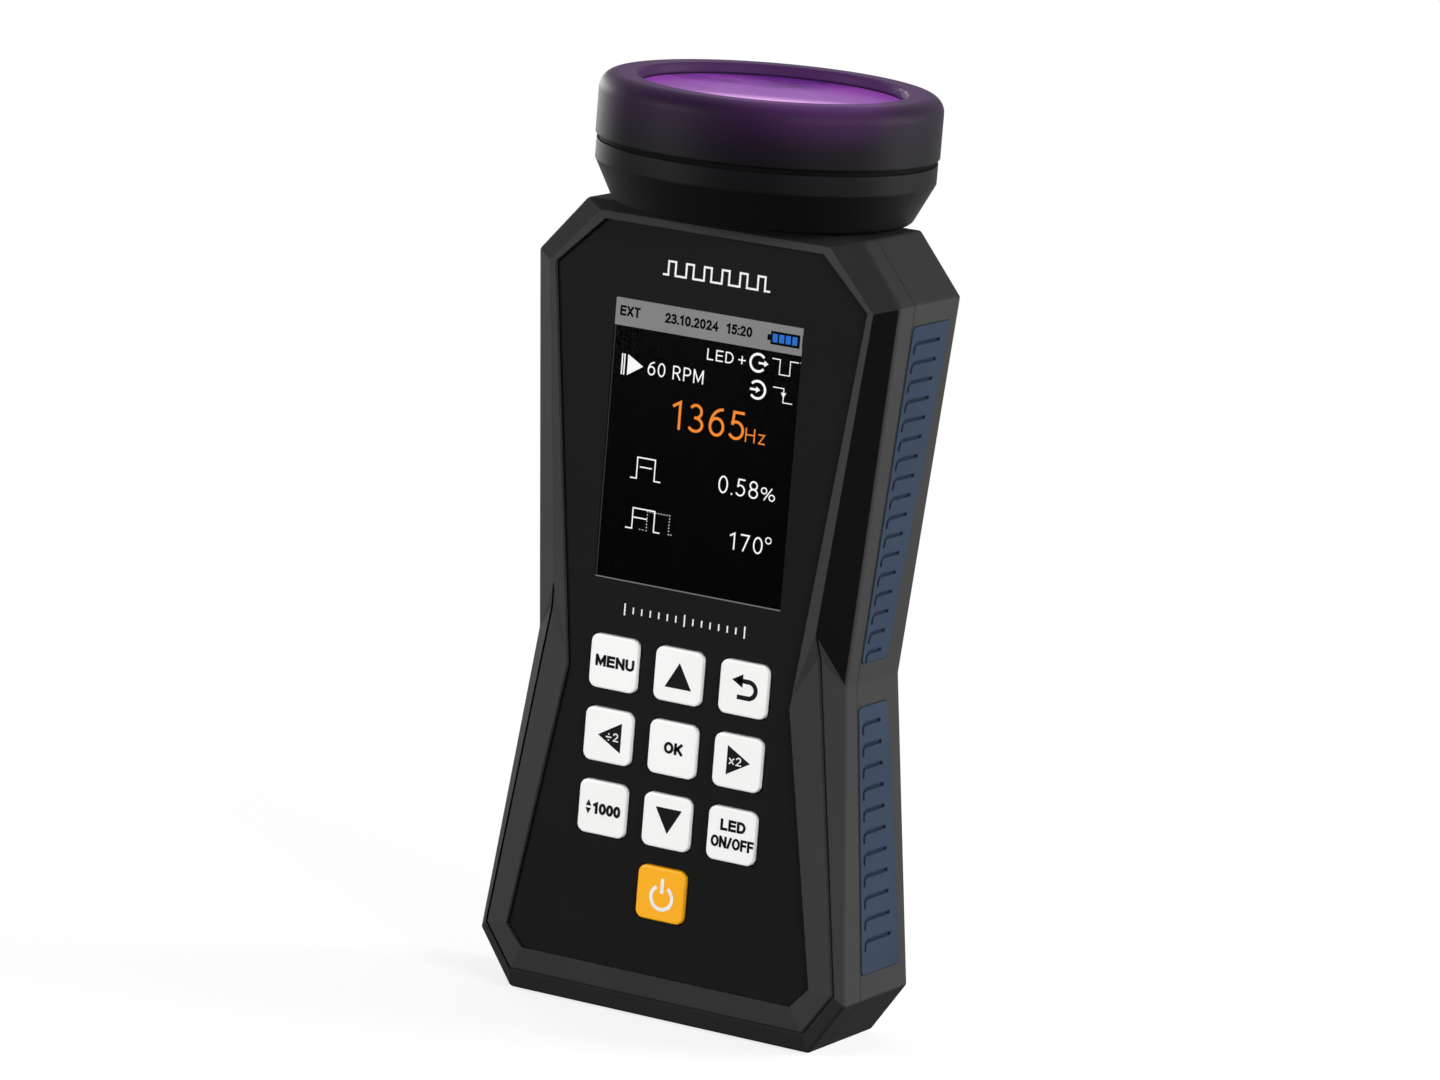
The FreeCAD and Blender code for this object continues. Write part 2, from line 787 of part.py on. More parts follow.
def crest_groove():
    """Fine groove down both sides and across the bottom, along the crest below the tip."""
    corners = [crest_tip, crest_hip, crest_foot]
    tip_x, tip_z = crest_tip
    half = crest_groove_width / 2
    y0 = front_y - OVERRUN
    ring = polygon_prism(corners, y0, parting_y, half)
    ring = ring.cut(polygon_prism(corners, y0, parting_y, -half))
    ring = ring.cut(box(-tip_x, tip_x, y0, parting_y, tip_z - crest_groove_width, tip_z + half))
    return ring.cut(body_form(crest_groove_depth, front_y + crest_groove_depth, back_y))


def seam_tongue(grow):
    """Lip on the front shell that enters the rear shell all round, or with a margin its rebate."""
    y0 = parting_y - seam_gap / 2 - (0.0 if grow else wall)
    y1 = parting_y + seam_gap / 2 + tongue_reach + grow
    outer = polygon_prism(OUTLINE, y0, y1, -(wall - tongue_thickness) + grow)
    inner = polygon_prism(OUTLINE, y0, y1, -wall - (OVERRUN if grow else 0.0))
    return outer.cut(inner)


def front_bosses():
    """Bosses on the inner side of the front wall for the housing screws and the board screws."""
    bosses = []
    for x, z in case_screw_places():
        bosses.append(rod_y(x, z, case_boss_radius, cavity_front_y, parting_y - seam_gap / 2))
    for x, z in board_screw_places():
        bosses.append(rod_y(x, z, board_boss_radius, cavity_front_y, board_front_y))
    return bosses


def front_openings():
    """Cuts in the front shell: plate recess, display and key openings, pilot holes."""
    cuts = [polygon_prism(PLATE, front_y - OVERRUN, plate_back_y, plate_gap)]
    half = panel_width / 2 + panel_gap
    z0 = display_centre_z - panel_height / 2 - panel_gap
    z1 = display_centre_z + panel_height / 2 + panel_gap
    cuts.append(box(-half, half, plate_back_y - OVERRUN, cavity_front_y + OVERRUN, z0, z1))
    cuts += key_openings(plate_back_y - OVERRUN, cavity_front_y + OVERRUN)
    for x, z in case_screw_places():
        cuts.append(rod_y(x, z, case_screw_radius + pilot_clearance, cavity_front_y, parting_y))
    pilot = board_screw_radius + pilot_clearance
    for x, z in board_screw_places():
        cuts.append(rod_y(x, z, pilot, cavity_front_y, board_front_y + OVERRUN))
    return cuts


def key_openings(y0, y1):
    """Square openings for the key caps between two depths."""
    size = key_size + 2 * key_gap
    return [key_block(x, z, size, key_corner, y0, y1) for x, z in key_places().values()]


def rear_bosses(cavity):
    """Bosses and walls inside the rear shell: screws, tripod bush, battery bay and cover ledge."""
    shapes = []
    head_wall = case_screw_head_radius + screw_clearance + bay_wall
    seat_y = back_y - case_screw_sink - case_screw_head_height - bay_wall
    for x, z in case_screw_places():
        shapes.append(rod_y(x, z, case_boss_radius, parting_y + seam_gap / 2, cavity_back_y))
        shapes.append(rod_y(x, z, head_wall, seat_y, cavity_back_y))
    bush_back = back_y - tripod_bush_length - tripod_floor
    shapes.append(rod_y(0, tripod_z, tripod_bush_radius + tripod_boss_wall, bush_back, cavity_back_y))
    cover_seat_y = back_y - cover_thickness
    for z in cover_screw_heights():
        shapes.append(rod_y(0, z, cover_boss_radius, cover_seat_y - cover_screw_length, cavity_back_y))
    half = battery_size[0] / 2 + battery_gap + bay_wall
    z0 = battery_foot_z - bay_wall
    z1 = battery_top_z + contact_space + bay_wall
    shapes.append(box(-half, half, bay_front_y - bay_wall, cavity_back_y, z0, z1))
    shapes.append(cover_form(cover_gap + ledge_width, cover_seat_y - ledge_thickness, cavity_back_y))
    return [shape.common(cavity) for shape in shapes]


def rear_openings():
    """Cuts in the rear shell: grip recesses, screws, bush, battery bay, cover recess and sockets."""
    cuts = []
    for low, high, span, rear_y in (UPPER_GRIP, LOWER_GRIP):
        recess = grip_form(low, high, span, rear_y, grip_gap, grip_proud + OVERRUN)
        cuts += both_sides(recess)
        for hole in grip_pegs(low, high, span, rear_y, grip_gap):
            cuts += both_sides(hole)
    for x, z in case_screw_places():
        cuts.append(rod_y(x, z, case_screw_radius + screw_clearance, parting_y, back_y + OVERRUN))
        seat = back_y - case_screw_sink - case_screw_head_height
        cuts.append(rod_y(x, z, case_screw_head_radius + screw_clearance, seat, back_y + OVERRUN))
    cuts.append(rod_y(0, tripod_z, tripod_bush_radius, back_y - tripod_bush_length, back_y + OVERRUN))
    half = battery_size[0] / 2 + battery_gap
    bay_top_z = battery_top_z + contact_space
    cuts.append(box(-half, half, bay_front_y, back_y + OVERRUN, battery_foot_z, bay_top_z))
    cuts.append(cover_form(cover_gap, back_y - cover_thickness, back_y + OVERRUN))
    pilot = cover_screw_radius + pilot_clearance
    for z in cover_screw_heights():
        cuts.append(rod_y(0, z, pilot, back_y - cover_thickness - cover_screw_length, back_y))
    return cuts


def cover_form(grow, y0, y1):
    """Rounded block of the battery cover, grown by a margin."""
    half = cover_half_width + grow
    return rounded_prism(half, cover_foot_z - grow, cover_top_z + grow, y0, y1, cover_corner)


def cover_screw_heights():
    """Heights of the two screws that hold the battery cover."""
    return [cover_foot_z + cover_screw_inset, cover_top_z - cover_screw_inset]


def face_plate():
    """Black overlay in the front recess, with the window and key openings."""
    plate = polygon_prism(PLATE, plate_front_y, plate_back_y)
    half = display_width / 2 + window_gap
    rise = display_height / 2 + window_gap
    plate = plate.cut(box(-half, half, plate_front_y - OVERRUN, plate_back_y + OVERRUN,
                          display_centre_z - rise, display_centre_z + rise))
    return plate.cut(key_openings(plate_front_y - OVERRUN, plate_back_y + OVERRUN))


def display():
    """Clear window, panel, backlight and the frame that carries them on the board."""
    half = display_width / 2
    rise = display_height / 2
    window = box(-half, half, plate_front_y, plate_back_y, display_centre_z - rise, display_centre_z + rise)
    half = panel_width / 2
    z0 = display_centre_z - panel_height / 2
    z1 = display_centre_z + panel_height / 2
    panel = box(-half, half, plate_back_y, backlight_front_y, z0, z1)
    backlight = box(-half, half, backlight_front_y, frame_front_y, z0, z1)
    frame = box(-half, half, frame_front_y, board_front_y, z0, z1)
    for rim, depth in ((frame_rim, frame_front_y + frame_web), (frame_window_rim, frame_front_y - OVERRUN)):
        frame = frame.cut(box(-half + rim, half - rim, depth, board_front_y + OVERRUN, z0 + rim, z1 - rim))
    return {"display_window": window, "lcd_panel": panel, "lcd_backlight": backlight, "lcd_frame": frame}


def key_cap(x, z):
    """Key cap with the flange that keeps it behind the front wall."""
    cap = key_block(0, 0, key_size, key_corner, key_front_y, flange_front_y)
    cap = cap.makeFillet(key_edge, edges_at_depth(cap, key_front_y))
    flange = key_block(0, 0, key_size + 2 * key_flange_rim, key_corner, flange_front_y, flange_back_y)
    cap = cap.fuse(flange).removeSplitter()
    cap.translate(V(x, 0, z))
    return cap


def switches():
    """Push switches on the board, one behind each key."""
    found = []
    for x, z in key_places().values():
        half = switch_size / 2
        body = box(x - half, x + half, board_front_y - switch_body, board_front_y, z - half, z + half)
        button = rod_y(x, z, switch_button_radius, switch_front_y, board_front_y - switch_body)
        found.append(body.fuse(button))
    return Part.makeCompound(found)


def main_board():
    """Board behind the display and keys."""
    board = box(-board_half_width, board_half_width, board_front_y, board_back_y, board_foot_z, board_top_z)
    hole = board_screw_radius + screw_clearance
    y0 = board_front_y - OVERRUN
    y1 = board_back_y + OVERRUN
    return board.cut([rod_y(x, z, hole, y0, y1) for x, z in board_screw_places()])


def chips():
    """Chips and small parts on the back of the board, clear of the battery bay."""
    top_y = board_back_y + chip_height
    found = []
    for x, z, width, length in CHIPS:
        found.append(box(x - width / 2, x + width / 2, board_back_y, top_y, z - length / 2, z + length / 2))
    return Part.makeCompound(found)


def case_screws():
    """Four long screws that hold the shells together from the back."""
    seat = back_y - case_screw_sink - case_screw_head_height
    length = seat - cavity_front_y - screw_tip_gap
    one = screw(case_screw_radius, length, case_screw_head_radius, case_screw_head_height)
    places = [V(x, seat, z) for x, z in case_screw_places()]
    return Part.makeCompound([placed(one, place, V(0, 1, 0)) for place in places])


def board_screws():
    """Six small screws that hold the board on the front shell's bosses."""
    length = board_back_y - cavity_front_y - screw_tip_gap
    one = screw(board_screw_radius, length, board_screw_head_radius, board_screw_head_height)
    places = [V(x, board_back_y, z) for x, z in board_screw_places()]
    return Part.makeCompound([placed(one, place, V(0, 1, 0)) for place in places])


def battery():
    """Rechargeable pack in its bay, and the sprung contacts above it."""
    half = battery_size[0] / 2
    pack = box(-half, half, bay_front_y, bay_back_y, battery_foot_z, battery_top_z)
    pack = pack.makeFillet(battery_round, edges_along(pack, V(0, 0, 1)))
    contacts = []
    middle = (bay_front_y + bay_back_y) / 2
    y0 = middle - contact_depth / 2
    y1 = middle + contact_depth / 2
    half = contact_width / 2
    for x in (-contact_pitch, 0.0, contact_pitch):
        contacts.append(box(x - half, x + half, y0, y1, battery_top_z, battery_top_z + contact_space))
    return {"battery_pack": pack, "battery_contacts": Part.makeCompound(contacts)}


def battery_cover():
    """Cover of the battery bay, with finger grooves and two captive screws."""
    front = back_y - cover_thickness
    cover = cover_form(0.0, front, back_y)
    seat = back_y - cover_screw_sink
    screws = []
    length = seat - front + cover_screw_length - screw_tip_gap
    one = screw(cover_screw_radius, length, cover_screw_head_radius, cover_screw_sink)
    top = back_y + OVERRUN
    for z in cover_screw_heights():
        cover = cover.cut(rod_y(0, z, cover_screw_radius + screw_clearance, front - OVERRUN, top))
        cover = cover.cut(rod_y(0, z, cover_screw_head_radius + screw_clearance, seat, top))
        screws.append(placed(one, V(0, seat, z), V(0, 1, 0)))
    half = cover_groove_half_width
    groove_foot_y = back_y - cover_groove_depth
    for index in range(int(cover_groove_field / cover_groove_pitch) + 1):
        z = cover_top_z - cover_groove_drop - index * cover_groove_pitch
        z0 = z - cover_groove_width / 2
        cover = cover.cut(box(-half, half, groove_foot_y, top, z0, z0 + cover_groove_width))
    return {"battery_cover": cover, "cover_screws": Part.makeCompound(screws)}


def tripod_bush():
    """Brass bush for a tripod screw, flush in the back."""
    front = back_y - tripod_bush_length
    bush = rod_y(0, tripod_z, tripod_bush_radius - tripod_bush_gap, front, back_y)
    return bush.cut(rod_y(0, tripod_z, tripod_thread_radius, front + tripod_floor, back_y + OVERRUN))


def jack(x):
    """Socket for a 3.5 mm plug: body on the board, barrel through the bottom wall."""
    width, depth, height = jack_body
    foot = wall + fit_gap
    body = box(x - width / 2, x + width / 2, board_back_y, board_back_y + depth, foot, foot + height)
    barrel = rod_z(x, jack_y, jack_barrel_radius, jack_sink, foot)
    bore = rod_z(x, jack_y, jack_bore_radius, jack_sink - OVERRUN, jack_sink + jack_bore_length)
    return body.fuse(barrel).cut(bore).removeSplitter()


def usb_form(grow, z0, z1):
    """Flat rounded form of the charging socket."""
    width, depth, height = usb_size
    block = box(-width / 2 - grow, width / 2 + grow, board_back_y - grow, board_back_y + depth + grow, z0, z1)
    return block.makeFillet(usb_corner + grow, edges_along(block, V(0, 0, 1)))


def usb_socket():
    """Charging socket: pressed metal sleeve with its tongue."""
    depth, height = usb_size[1:]
    sleeve = usb_form(0.0, jack_sink, jack_sink + height)
    end = jack_sink + height - usb_shell
    sleeve = sleeve.cut(usb_form(-usb_shell, jack_sink - OVERRUN, end))
    width, thickness, length = usb_tongue
    middle = board_back_y + depth / 2
    y0 = middle - thickness / 2
    tongue = box(-width / 2, width / 2, y0, y0 + thickness, end - length, end)
    return sleeve.fuse(tongue)


def neck():
    """Neck held between the shells by its flange, its seal, and the screws into it from the lamp housing."""
    stem = neck_form(0.0, neck_flange_foot_z, head_foot_z)
    flange = neck_form(neck_flange_rim, neck_flange_foot_z, neck_flange_top_z)
    z0 = neck_flange_foot_z - OVERRUN
    z1 = head_foot_z + OVERRUN
    body = stem.fuse(flange).cut(wire_slot(z0, z1))
    length = cup_floor_z - neck_flange_foot_z - screw_tip_gap
    one = screw(neck_screw_radius, length, case_screw_head_radius, case_screw_head_height)
    screws = []
    for x, y in neck_screw_places():
        body = body.cut(rod_z(x, y, neck_screw_radius + pilot_clearance, z0, z1))
        screws.append(placed(one, V(x, y, cup_floor_z), V(0, 0, 1)))
    seal = neck_form(neck_seal_rim, body_height, head_foot_z)
    seal = seal.cut(neck_form(neck_gap, body_height - OVERRUN, head_foot_z + OVERRUN))
    return {"lamp_neck": body.removeSplitter(), "neck_seal": seal, "neck_screws": Part.makeCompound(screws)}


def wire_slot(z0, z1):
    """Oblong way through the neck and the lamp housing for the driver board and the pins."""
    return oblong(neck_slot_half_width, neck_slot_radius, neck_centre_y, z0, z1)


def neck_screw_places():
    """Places of the four screws between the lamp housing and the neck."""
    return [(sx * neck_screw_x, neck_centre_y + sy * neck_screw_y) for sx in (-1, 1) for sy in (-1, 1)]


def lamp_housing():
    """Cup of the lamp head, with the spigot that the ring goes over."""
    z0 = head_foot_z
    cone_top = z0 + cup_cone_height
    spigot_top = cup_top_z + spigot_height
    inner = spigot_radius - spigot_wall
    inner_foot = cup_foot_radius - cup_wall
    profile = [
        (0, z0), (cup_foot_radius, z0), (cup_radius, cone_top), (cup_radius, cup_top_z),
        (spigot_radius, cup_top_z), (spigot_radius, spigot_top), (inner, spigot_top), (inner, cone_top),
        (inner_foot, cup_floor_z), (0, cup_floor_z),
    ]
    cup = turned(profile)
    cup = cup.makeFillet(cup_foot_round, circle_edges(cup, cup_foot_radius, z0))
    z0 -= OVERRUN
    z1 = cup_floor_z + OVERRUN
    hole = neck_screw_radius + screw_clearance
    return cup.cut([wire_slot(z0, z1)] + [rod_z(x, y, hole, z0, z1) for x, y in neck_screw_places()])


def housing_seal():
    """Black seal in the groove between the cup and the ring."""
    inner = spigot_radius + fit_gap
    outer = cup_radius - groove_depth / 2
    return turned([(inner, cup_top_z), (outer, cup_top_z), (outer, ring_foot_z), (inner, ring_foot_z)])


def bezel_ring():
    """Ring that protects the lens and holds it down by its lip."""
    spigot = spigot_radius + fit_gap
    step_z = cup_top_z + spigot_height + fit_gap
    profile = [
        (spigot, ring_foot_z), (ring_radius, ring_foot_z), (ring_radius, ring_top_z),
        (rim_radius, ring_top_z), (throat_radius, throat_z), (ring_bore_radius, throat_z),
        (ring_bore_radius, step_z), (spigot, step_z),
    ]
    ring = turned(profile)
    ring = ring.makeFillet(ring_round, circle_edges(ring, ring_radius, ring_top_z))
    return ring.makeFillet(rim_round, circle_edges(ring, rim_radius, ring_top_z))


def lens_stack():
    """Lens, the gasket between it and the ring's lip, and the reflector that carries it."""
    lens = rod_z(0, 0, lens_radius, lens_foot_z, lens_top_z)
    gasket = rod_z(0, 0, lens_radius, lens_top_z, throat_z)
    gasket = gasket.cut(rod_z(0, 0, throat_radius + fit_gap, lens_top_z, throat_z))
    reflector = turned([
        (reflector_foot_radius, led_board_top_z), (lens_radius, led_board_top_z),
        (lens_radius, lens_foot_z), (reflector_mouth_radius, lens_foot_z),
    ])
    return {"lamp_lens": lens, "lens_gasket": gasket, "reflector": reflector}


def heat_sink():
    """Finned heat sink on the cup's floor, clear of the neck screws and the lamp pins."""
    plate_foot_z = led_board_foot_z - heat_sink_plate
    sink = rod_z(0, 0, heat_sink_radius, plate_foot_z, led_board_foot_z)
    fin_space = rod_z(0, 0, heat_sink_radius, cup_floor_z, plate_foot_z)
    fin_count = int(heat_sink_radius / fin_pitch)
    reach = heat_sink_radius
    fins = []
    for index in range(-fin_count, fin_count + 1):
        x0 = index * fin_pitch - fin_thickness / 2
        fins.append(box(x0, x0 + fin_thickness, -reach, reach, cup_floor_z, plate_foot_z).common(fin_space))
    sink = sink.fuse(fins)
    head_room = neck_form(case_screw_head_radius + fit_gap, cup_floor_z - OVERRUN,
                          cup_floor_z + case_screw_head_height + fit_gap)
    cuts = [head_room] + led_screw_holes()
    way = pin_radius + pin_clearance
    for x in (-pin_x, pin_x):
        cuts.append(rod_z(x, pin_y, way, cup_floor_z - OVERRUN, led_board_foot_z + OVERRUN))
    return sink.cut(cuts).removeSplitter()


def light_board():
    """Round board that carries the light sources, with its four screws into the heat sink."""
    board = rod_z(0, 0, led_board_radius, led_board_foot_z, led_board_top_z).cut(led_screw_holes())
    one = screw(led_screw_radius, led_screw_length, board_screw_head_radius, board_screw_head_height)
    screws = [placed(one, V(x, y, led_board_top_z), V(0, 0, 1)) for x, y in led_screw_places()]
    return {"led_board": board, "led_board_screws": Part.makeCompound(screws)}


def leds():
    """Ultraviolet light sources in rings on the light board."""
    half = led_size / 2
    base = box(-half, half, -half, half, 0, led_body)
    dome = Part.makeSphere(led_dome_radius, V(0, 0, led_body))
    one = base.fuse(dome.common(box(-half, half, -half, half, led_body, led_body + led_dome_radius)))
    found = [placed(one, V(0, 0, led_board_top_z), V(0, 0, 1))]
    for radius in (led_middle_ring_radius / 2, led_middle_ring_radius, led_outer_ring_radius):
        count = int(2 * math.pi * radius / led_spacing)
        for index in range(count):
            turn = FreeCAD.Rotation(V(0, 0, 1), 360.0 * index / count)
            copy = one.copy()
            copy.Placement = FreeCAD.Placement(turn.multVec(V(radius, 0, 0)) + V(0, 0, led_board_top_z), turn)
            found.append(copy)
    return Part.makeCompound(found)


def led_screw_places():
    """Places of the four screws of the light board."""
    turns = [math.radians(angle) for angle in led_screw_angles]
    return [(led_screw_circle * math.cos(turn), led_screw_circle * math.sin(turn)) for turn in turns]


def led_screw_holes():
    """Holes for those screws through the board and the heat sink's plate."""
    hole = led_screw_radius + pilot_clearance
    z0 = led_board_foot_z - heat_sink_plate - OVERRUN
    z1 = led_board_top_z + OVERRUN
    return [rod_z(x, y, hole, z0, z1) for x, y in led_screw_places()]


def lamp_driver():
    """Driver board that rises through the neck, its parts, its link to the main board and the lamp pins."""
    half = driver_half_width
    board = box(-half, half, driver_board_y, driver_back_y, driver_foot_z, driver_top_z)
    link_width, link_height = link_size
    half = link_width / 2
    link = box(-half, half, board_back_y, driver_board_y, link_foot_z, link_foot_z + link_height)
    parts = []
    for x in (-driver_part_x, driver_part_x):
        end_y = driver_back_y + driver_part_length
        parts.append(rod_y(x, driver_part_z, driver_part_radius, driver_back_y, end_y))
    half = driver_chip_size / 2
    z0 = driver_part_z - half
    parts.append(box(-half, half, driver_back_y, driver_back_y + chip_height, z0, z0 + driver_chip_size))
    pin_foot_z = driver_top_z - pin_overlap
    pins = [rod_z(x, pin_y, pin_radius, pin_foot_z, led_board_foot_z) for x in (-pin_x, pin_x)]
    return {
        "driver_board": board,
        "driver_parts": Part.makeCompound(parts),
        "board_link": link,
        "lamp_pins": Part.makeCompound(pins),
    }


def all_parts():
    """Every sub-part by name."""
    parts = {"face_plate": face_plate()}
    parts.update(shells())
    parts.update(display())
    parts.update({name: key_cap(x, z) for name, (x, z) in key_places().items()})
    parts.update(grips())
    parts.update({"tact_switches": switches(), "main_board": main_board(), "board_chips": chips()})
    parts.update({"case_screws": case_screws(), "board_screws": board_screws()})
    parts.update(battery())
    parts.update(battery_cover())
    parts.update({"tripod_bush": tripod_bush(), "usb_socket": usb_socket()})
    parts.update({"trigger_in_jack": jack(-jack_x), "trigger_out_jack": jack(jack_x)})
    parts.update(neck())
    parts.update({"lamp_housing": lamp_housing(), "housing_seal": housing_seal(), "bezel_ring": bezel_ring()})
    parts.update(lens_stack())
    parts.update(light_board())
    parts.update({"heat_sink": heat_sink(), "uv_leds": leds()})
    parts.update(lamp_driver())
    return parts


def main():
    """Writes each sub-part to its own file and prints what it holds."""
    os.makedirs("parts", exist_ok=True)
    for name, shape in sorted(all_parts().items()):
        shape.exportStep("parts/" + name + ".step")
        print(name, "solids", len(shape.Solids), "valid", shape.isValid(), "volume", round(shape.Volume, 1))


main()
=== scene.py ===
"""Looks of a handheld ultraviolet stroboscope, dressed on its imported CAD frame.

Every CAD node keeps its mesh and gets a procedural finish. The key legends, the picture on the display
and the printed marks are thin pieces of their own, and ride on the body that carries them.
Sizes are in millimetres unless a docstring says otherwise, and scales in counts per metre. A colour is
the six hexadecimal figures that a display shows it by.
"""

import logging
import math
from dataclasses import dataclass
from enum import Enum
from functools import cache

import bmesh
import bpy
from mathutils import Matrix, Vector


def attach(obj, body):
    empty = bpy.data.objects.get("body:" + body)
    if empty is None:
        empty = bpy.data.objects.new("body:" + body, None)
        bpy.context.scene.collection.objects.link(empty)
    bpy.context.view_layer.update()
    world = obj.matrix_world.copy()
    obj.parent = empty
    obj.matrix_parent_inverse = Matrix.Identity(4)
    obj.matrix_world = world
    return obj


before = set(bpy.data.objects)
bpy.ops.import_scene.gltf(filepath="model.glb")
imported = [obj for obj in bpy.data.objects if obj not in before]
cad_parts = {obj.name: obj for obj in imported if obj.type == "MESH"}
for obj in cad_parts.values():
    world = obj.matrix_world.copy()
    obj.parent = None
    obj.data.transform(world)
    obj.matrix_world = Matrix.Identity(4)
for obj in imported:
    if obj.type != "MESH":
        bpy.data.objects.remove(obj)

Colour = str
Linear = tuple[float, float, float, float]
Point = tuple[float, float]
Place = tuple[float, float, float]
Box = tuple[float, float, float, float]
Outline = list[Point]
Socket = bpy.types.NodeSocket
Outputs = bpy.types.NodeOutputs
Sockets = dict[str | int, object]

MM = 0.001
BLACK = "000000"
WHITE = "ffffff"
MOST = (0.3, 0.7)  # the range that holds most of a noise's values
SHARPEST = 0.5  # least cosine of half the turn of a mitred corner
TOUCH = 1e-6  # ends of a stroke nearer than this close a ring

log = logging.getLogger("stroboscope")


def srgb(code: Colour) -> Linear:
    """Linear red, green and blue of a colour, and an alpha of one."""
    shares = (int(code[i : i + 2], 16) / 255 for i in (0, 2, 4))
    return (*(s / 12.92 if s <= 0.04045 else ((s + 0.055) / 1.055) ** 2.4 for s in shares), 1.0)


class Graph:
    """A shader node tree under construction."""

    def __init__(self, tree: bpy.types.NodeTree) -> None:
        """Keeps the tree, and empties it."""
        self.tree = tree
        tree.nodes.clear()

    def add(self, kind: str, sockets: Sockets | None = None, **settings: object) -> bpy.types.Node:
        """Adds one node.

        Args:
            kind: Blender's name of the node type, without its first words.
            sockets: Values, colours or output sockets for its inputs, by name or number.
            settings: Attributes of the node, such as operation.

        Returns:
            The new node.
        """
        node = self.tree.nodes.new("ShaderNode" + kind)
        for name, value in settings.items():
            setattr(node, name, value)
        for name, value in (sockets or {}).items():
            if isinstance(value, Socket):
                self.tree.links.new(value, node.inputs[name])
            else:
                node.inputs[name].default_value = srgb(value) if isinstance(value, str) else value
        return node

    def first(self, kind: str, sockets: Sockets | None = None, **settings: object) -> Socket:
        """First output of one new node."""
        return self.add(kind, sockets, **settings).outputs[0]

    def effect(self, effect: "Effect", values: Sockets) -> Outputs:
        """Outputs of an effect that is placed with its own values."""
        return self.add("Group", values, node_tree=effect.group()).outputs

    def maths(self, operation: str, *values: float | Socket) -> Socket:
        """Result of one Math node on one, two or three values."""
        return self.first("Math", dict(enumerate(values)), operation=operation)

    def spread(self, value: Socket, low: float, high: float, start: float = 0, end: float = 1) -> Socket:
        """Maps a value from low..high to start..end, held at the ends."""
        ranges = {"Value": value, "From Min": low, "From Max": high, "To Min": start, "To Max": end}
        return self.first("MapRange", ranges)

    def between(self, share: Socket, start: float, end: float) -> Socket:
        """Value between two values, the first at a share of nought."""
        return self.spread(share, 0.0, 1.0, start, end)

    def blend(self, share: Socket, first: Colour | Linear | Socket, second: Colour | Socket) -> Socket:
        """Colour between two colours, the first at a share of nought."""
        return self.add("Mix", {0: share, 6: first, 7: second}, data_type="RGBA").outputs[2]

    def place(self) -> Socket:
        """Position on the piece, in metres."""
        return self.add("TexCoord").outputs["Object"]

    def parts(self, vector: Socket) -> Outputs:
        """The x, y and z of a vector."""
        return self.add("SeparateXYZ", {0: vector}).outputs

    def dot(self, vector: Socket, way: Socket | Place) -> Socket:
        """Dot product of two vectors."""
        return self.add("VectorMath", {0: vector, 1: way}, operation="DOT_PRODUCT").outputs["Value"]

    def length(self, *sides: Socket) -> Socket:
        """Length of a slanting line from its two square sides."""
        return self.maths("SQRT", self.maths("ADD", *(self.maths("POWER", side, 2.0) for side in sides)))

    def noise(self, scale: float | Socket, detail: float, vector: Socket | None = None) -> Socket:
        """Noise value at a scale."""
        sockets = {"Vector": vector or self.place(), "Scale": scale, "Detail": detail}
        return self.first("TexNoise", sockets)

    def bump(self, height: Socket, depth: float, strength: float, **base: Socket) -> Socket:
        """Normal of a relief of a depth, on a base Normal where one is given."""
        sockets = {"Height": height, "Distance": depth * MM, "Strength": strength, **base}
        return self.first("Bump", sockets)


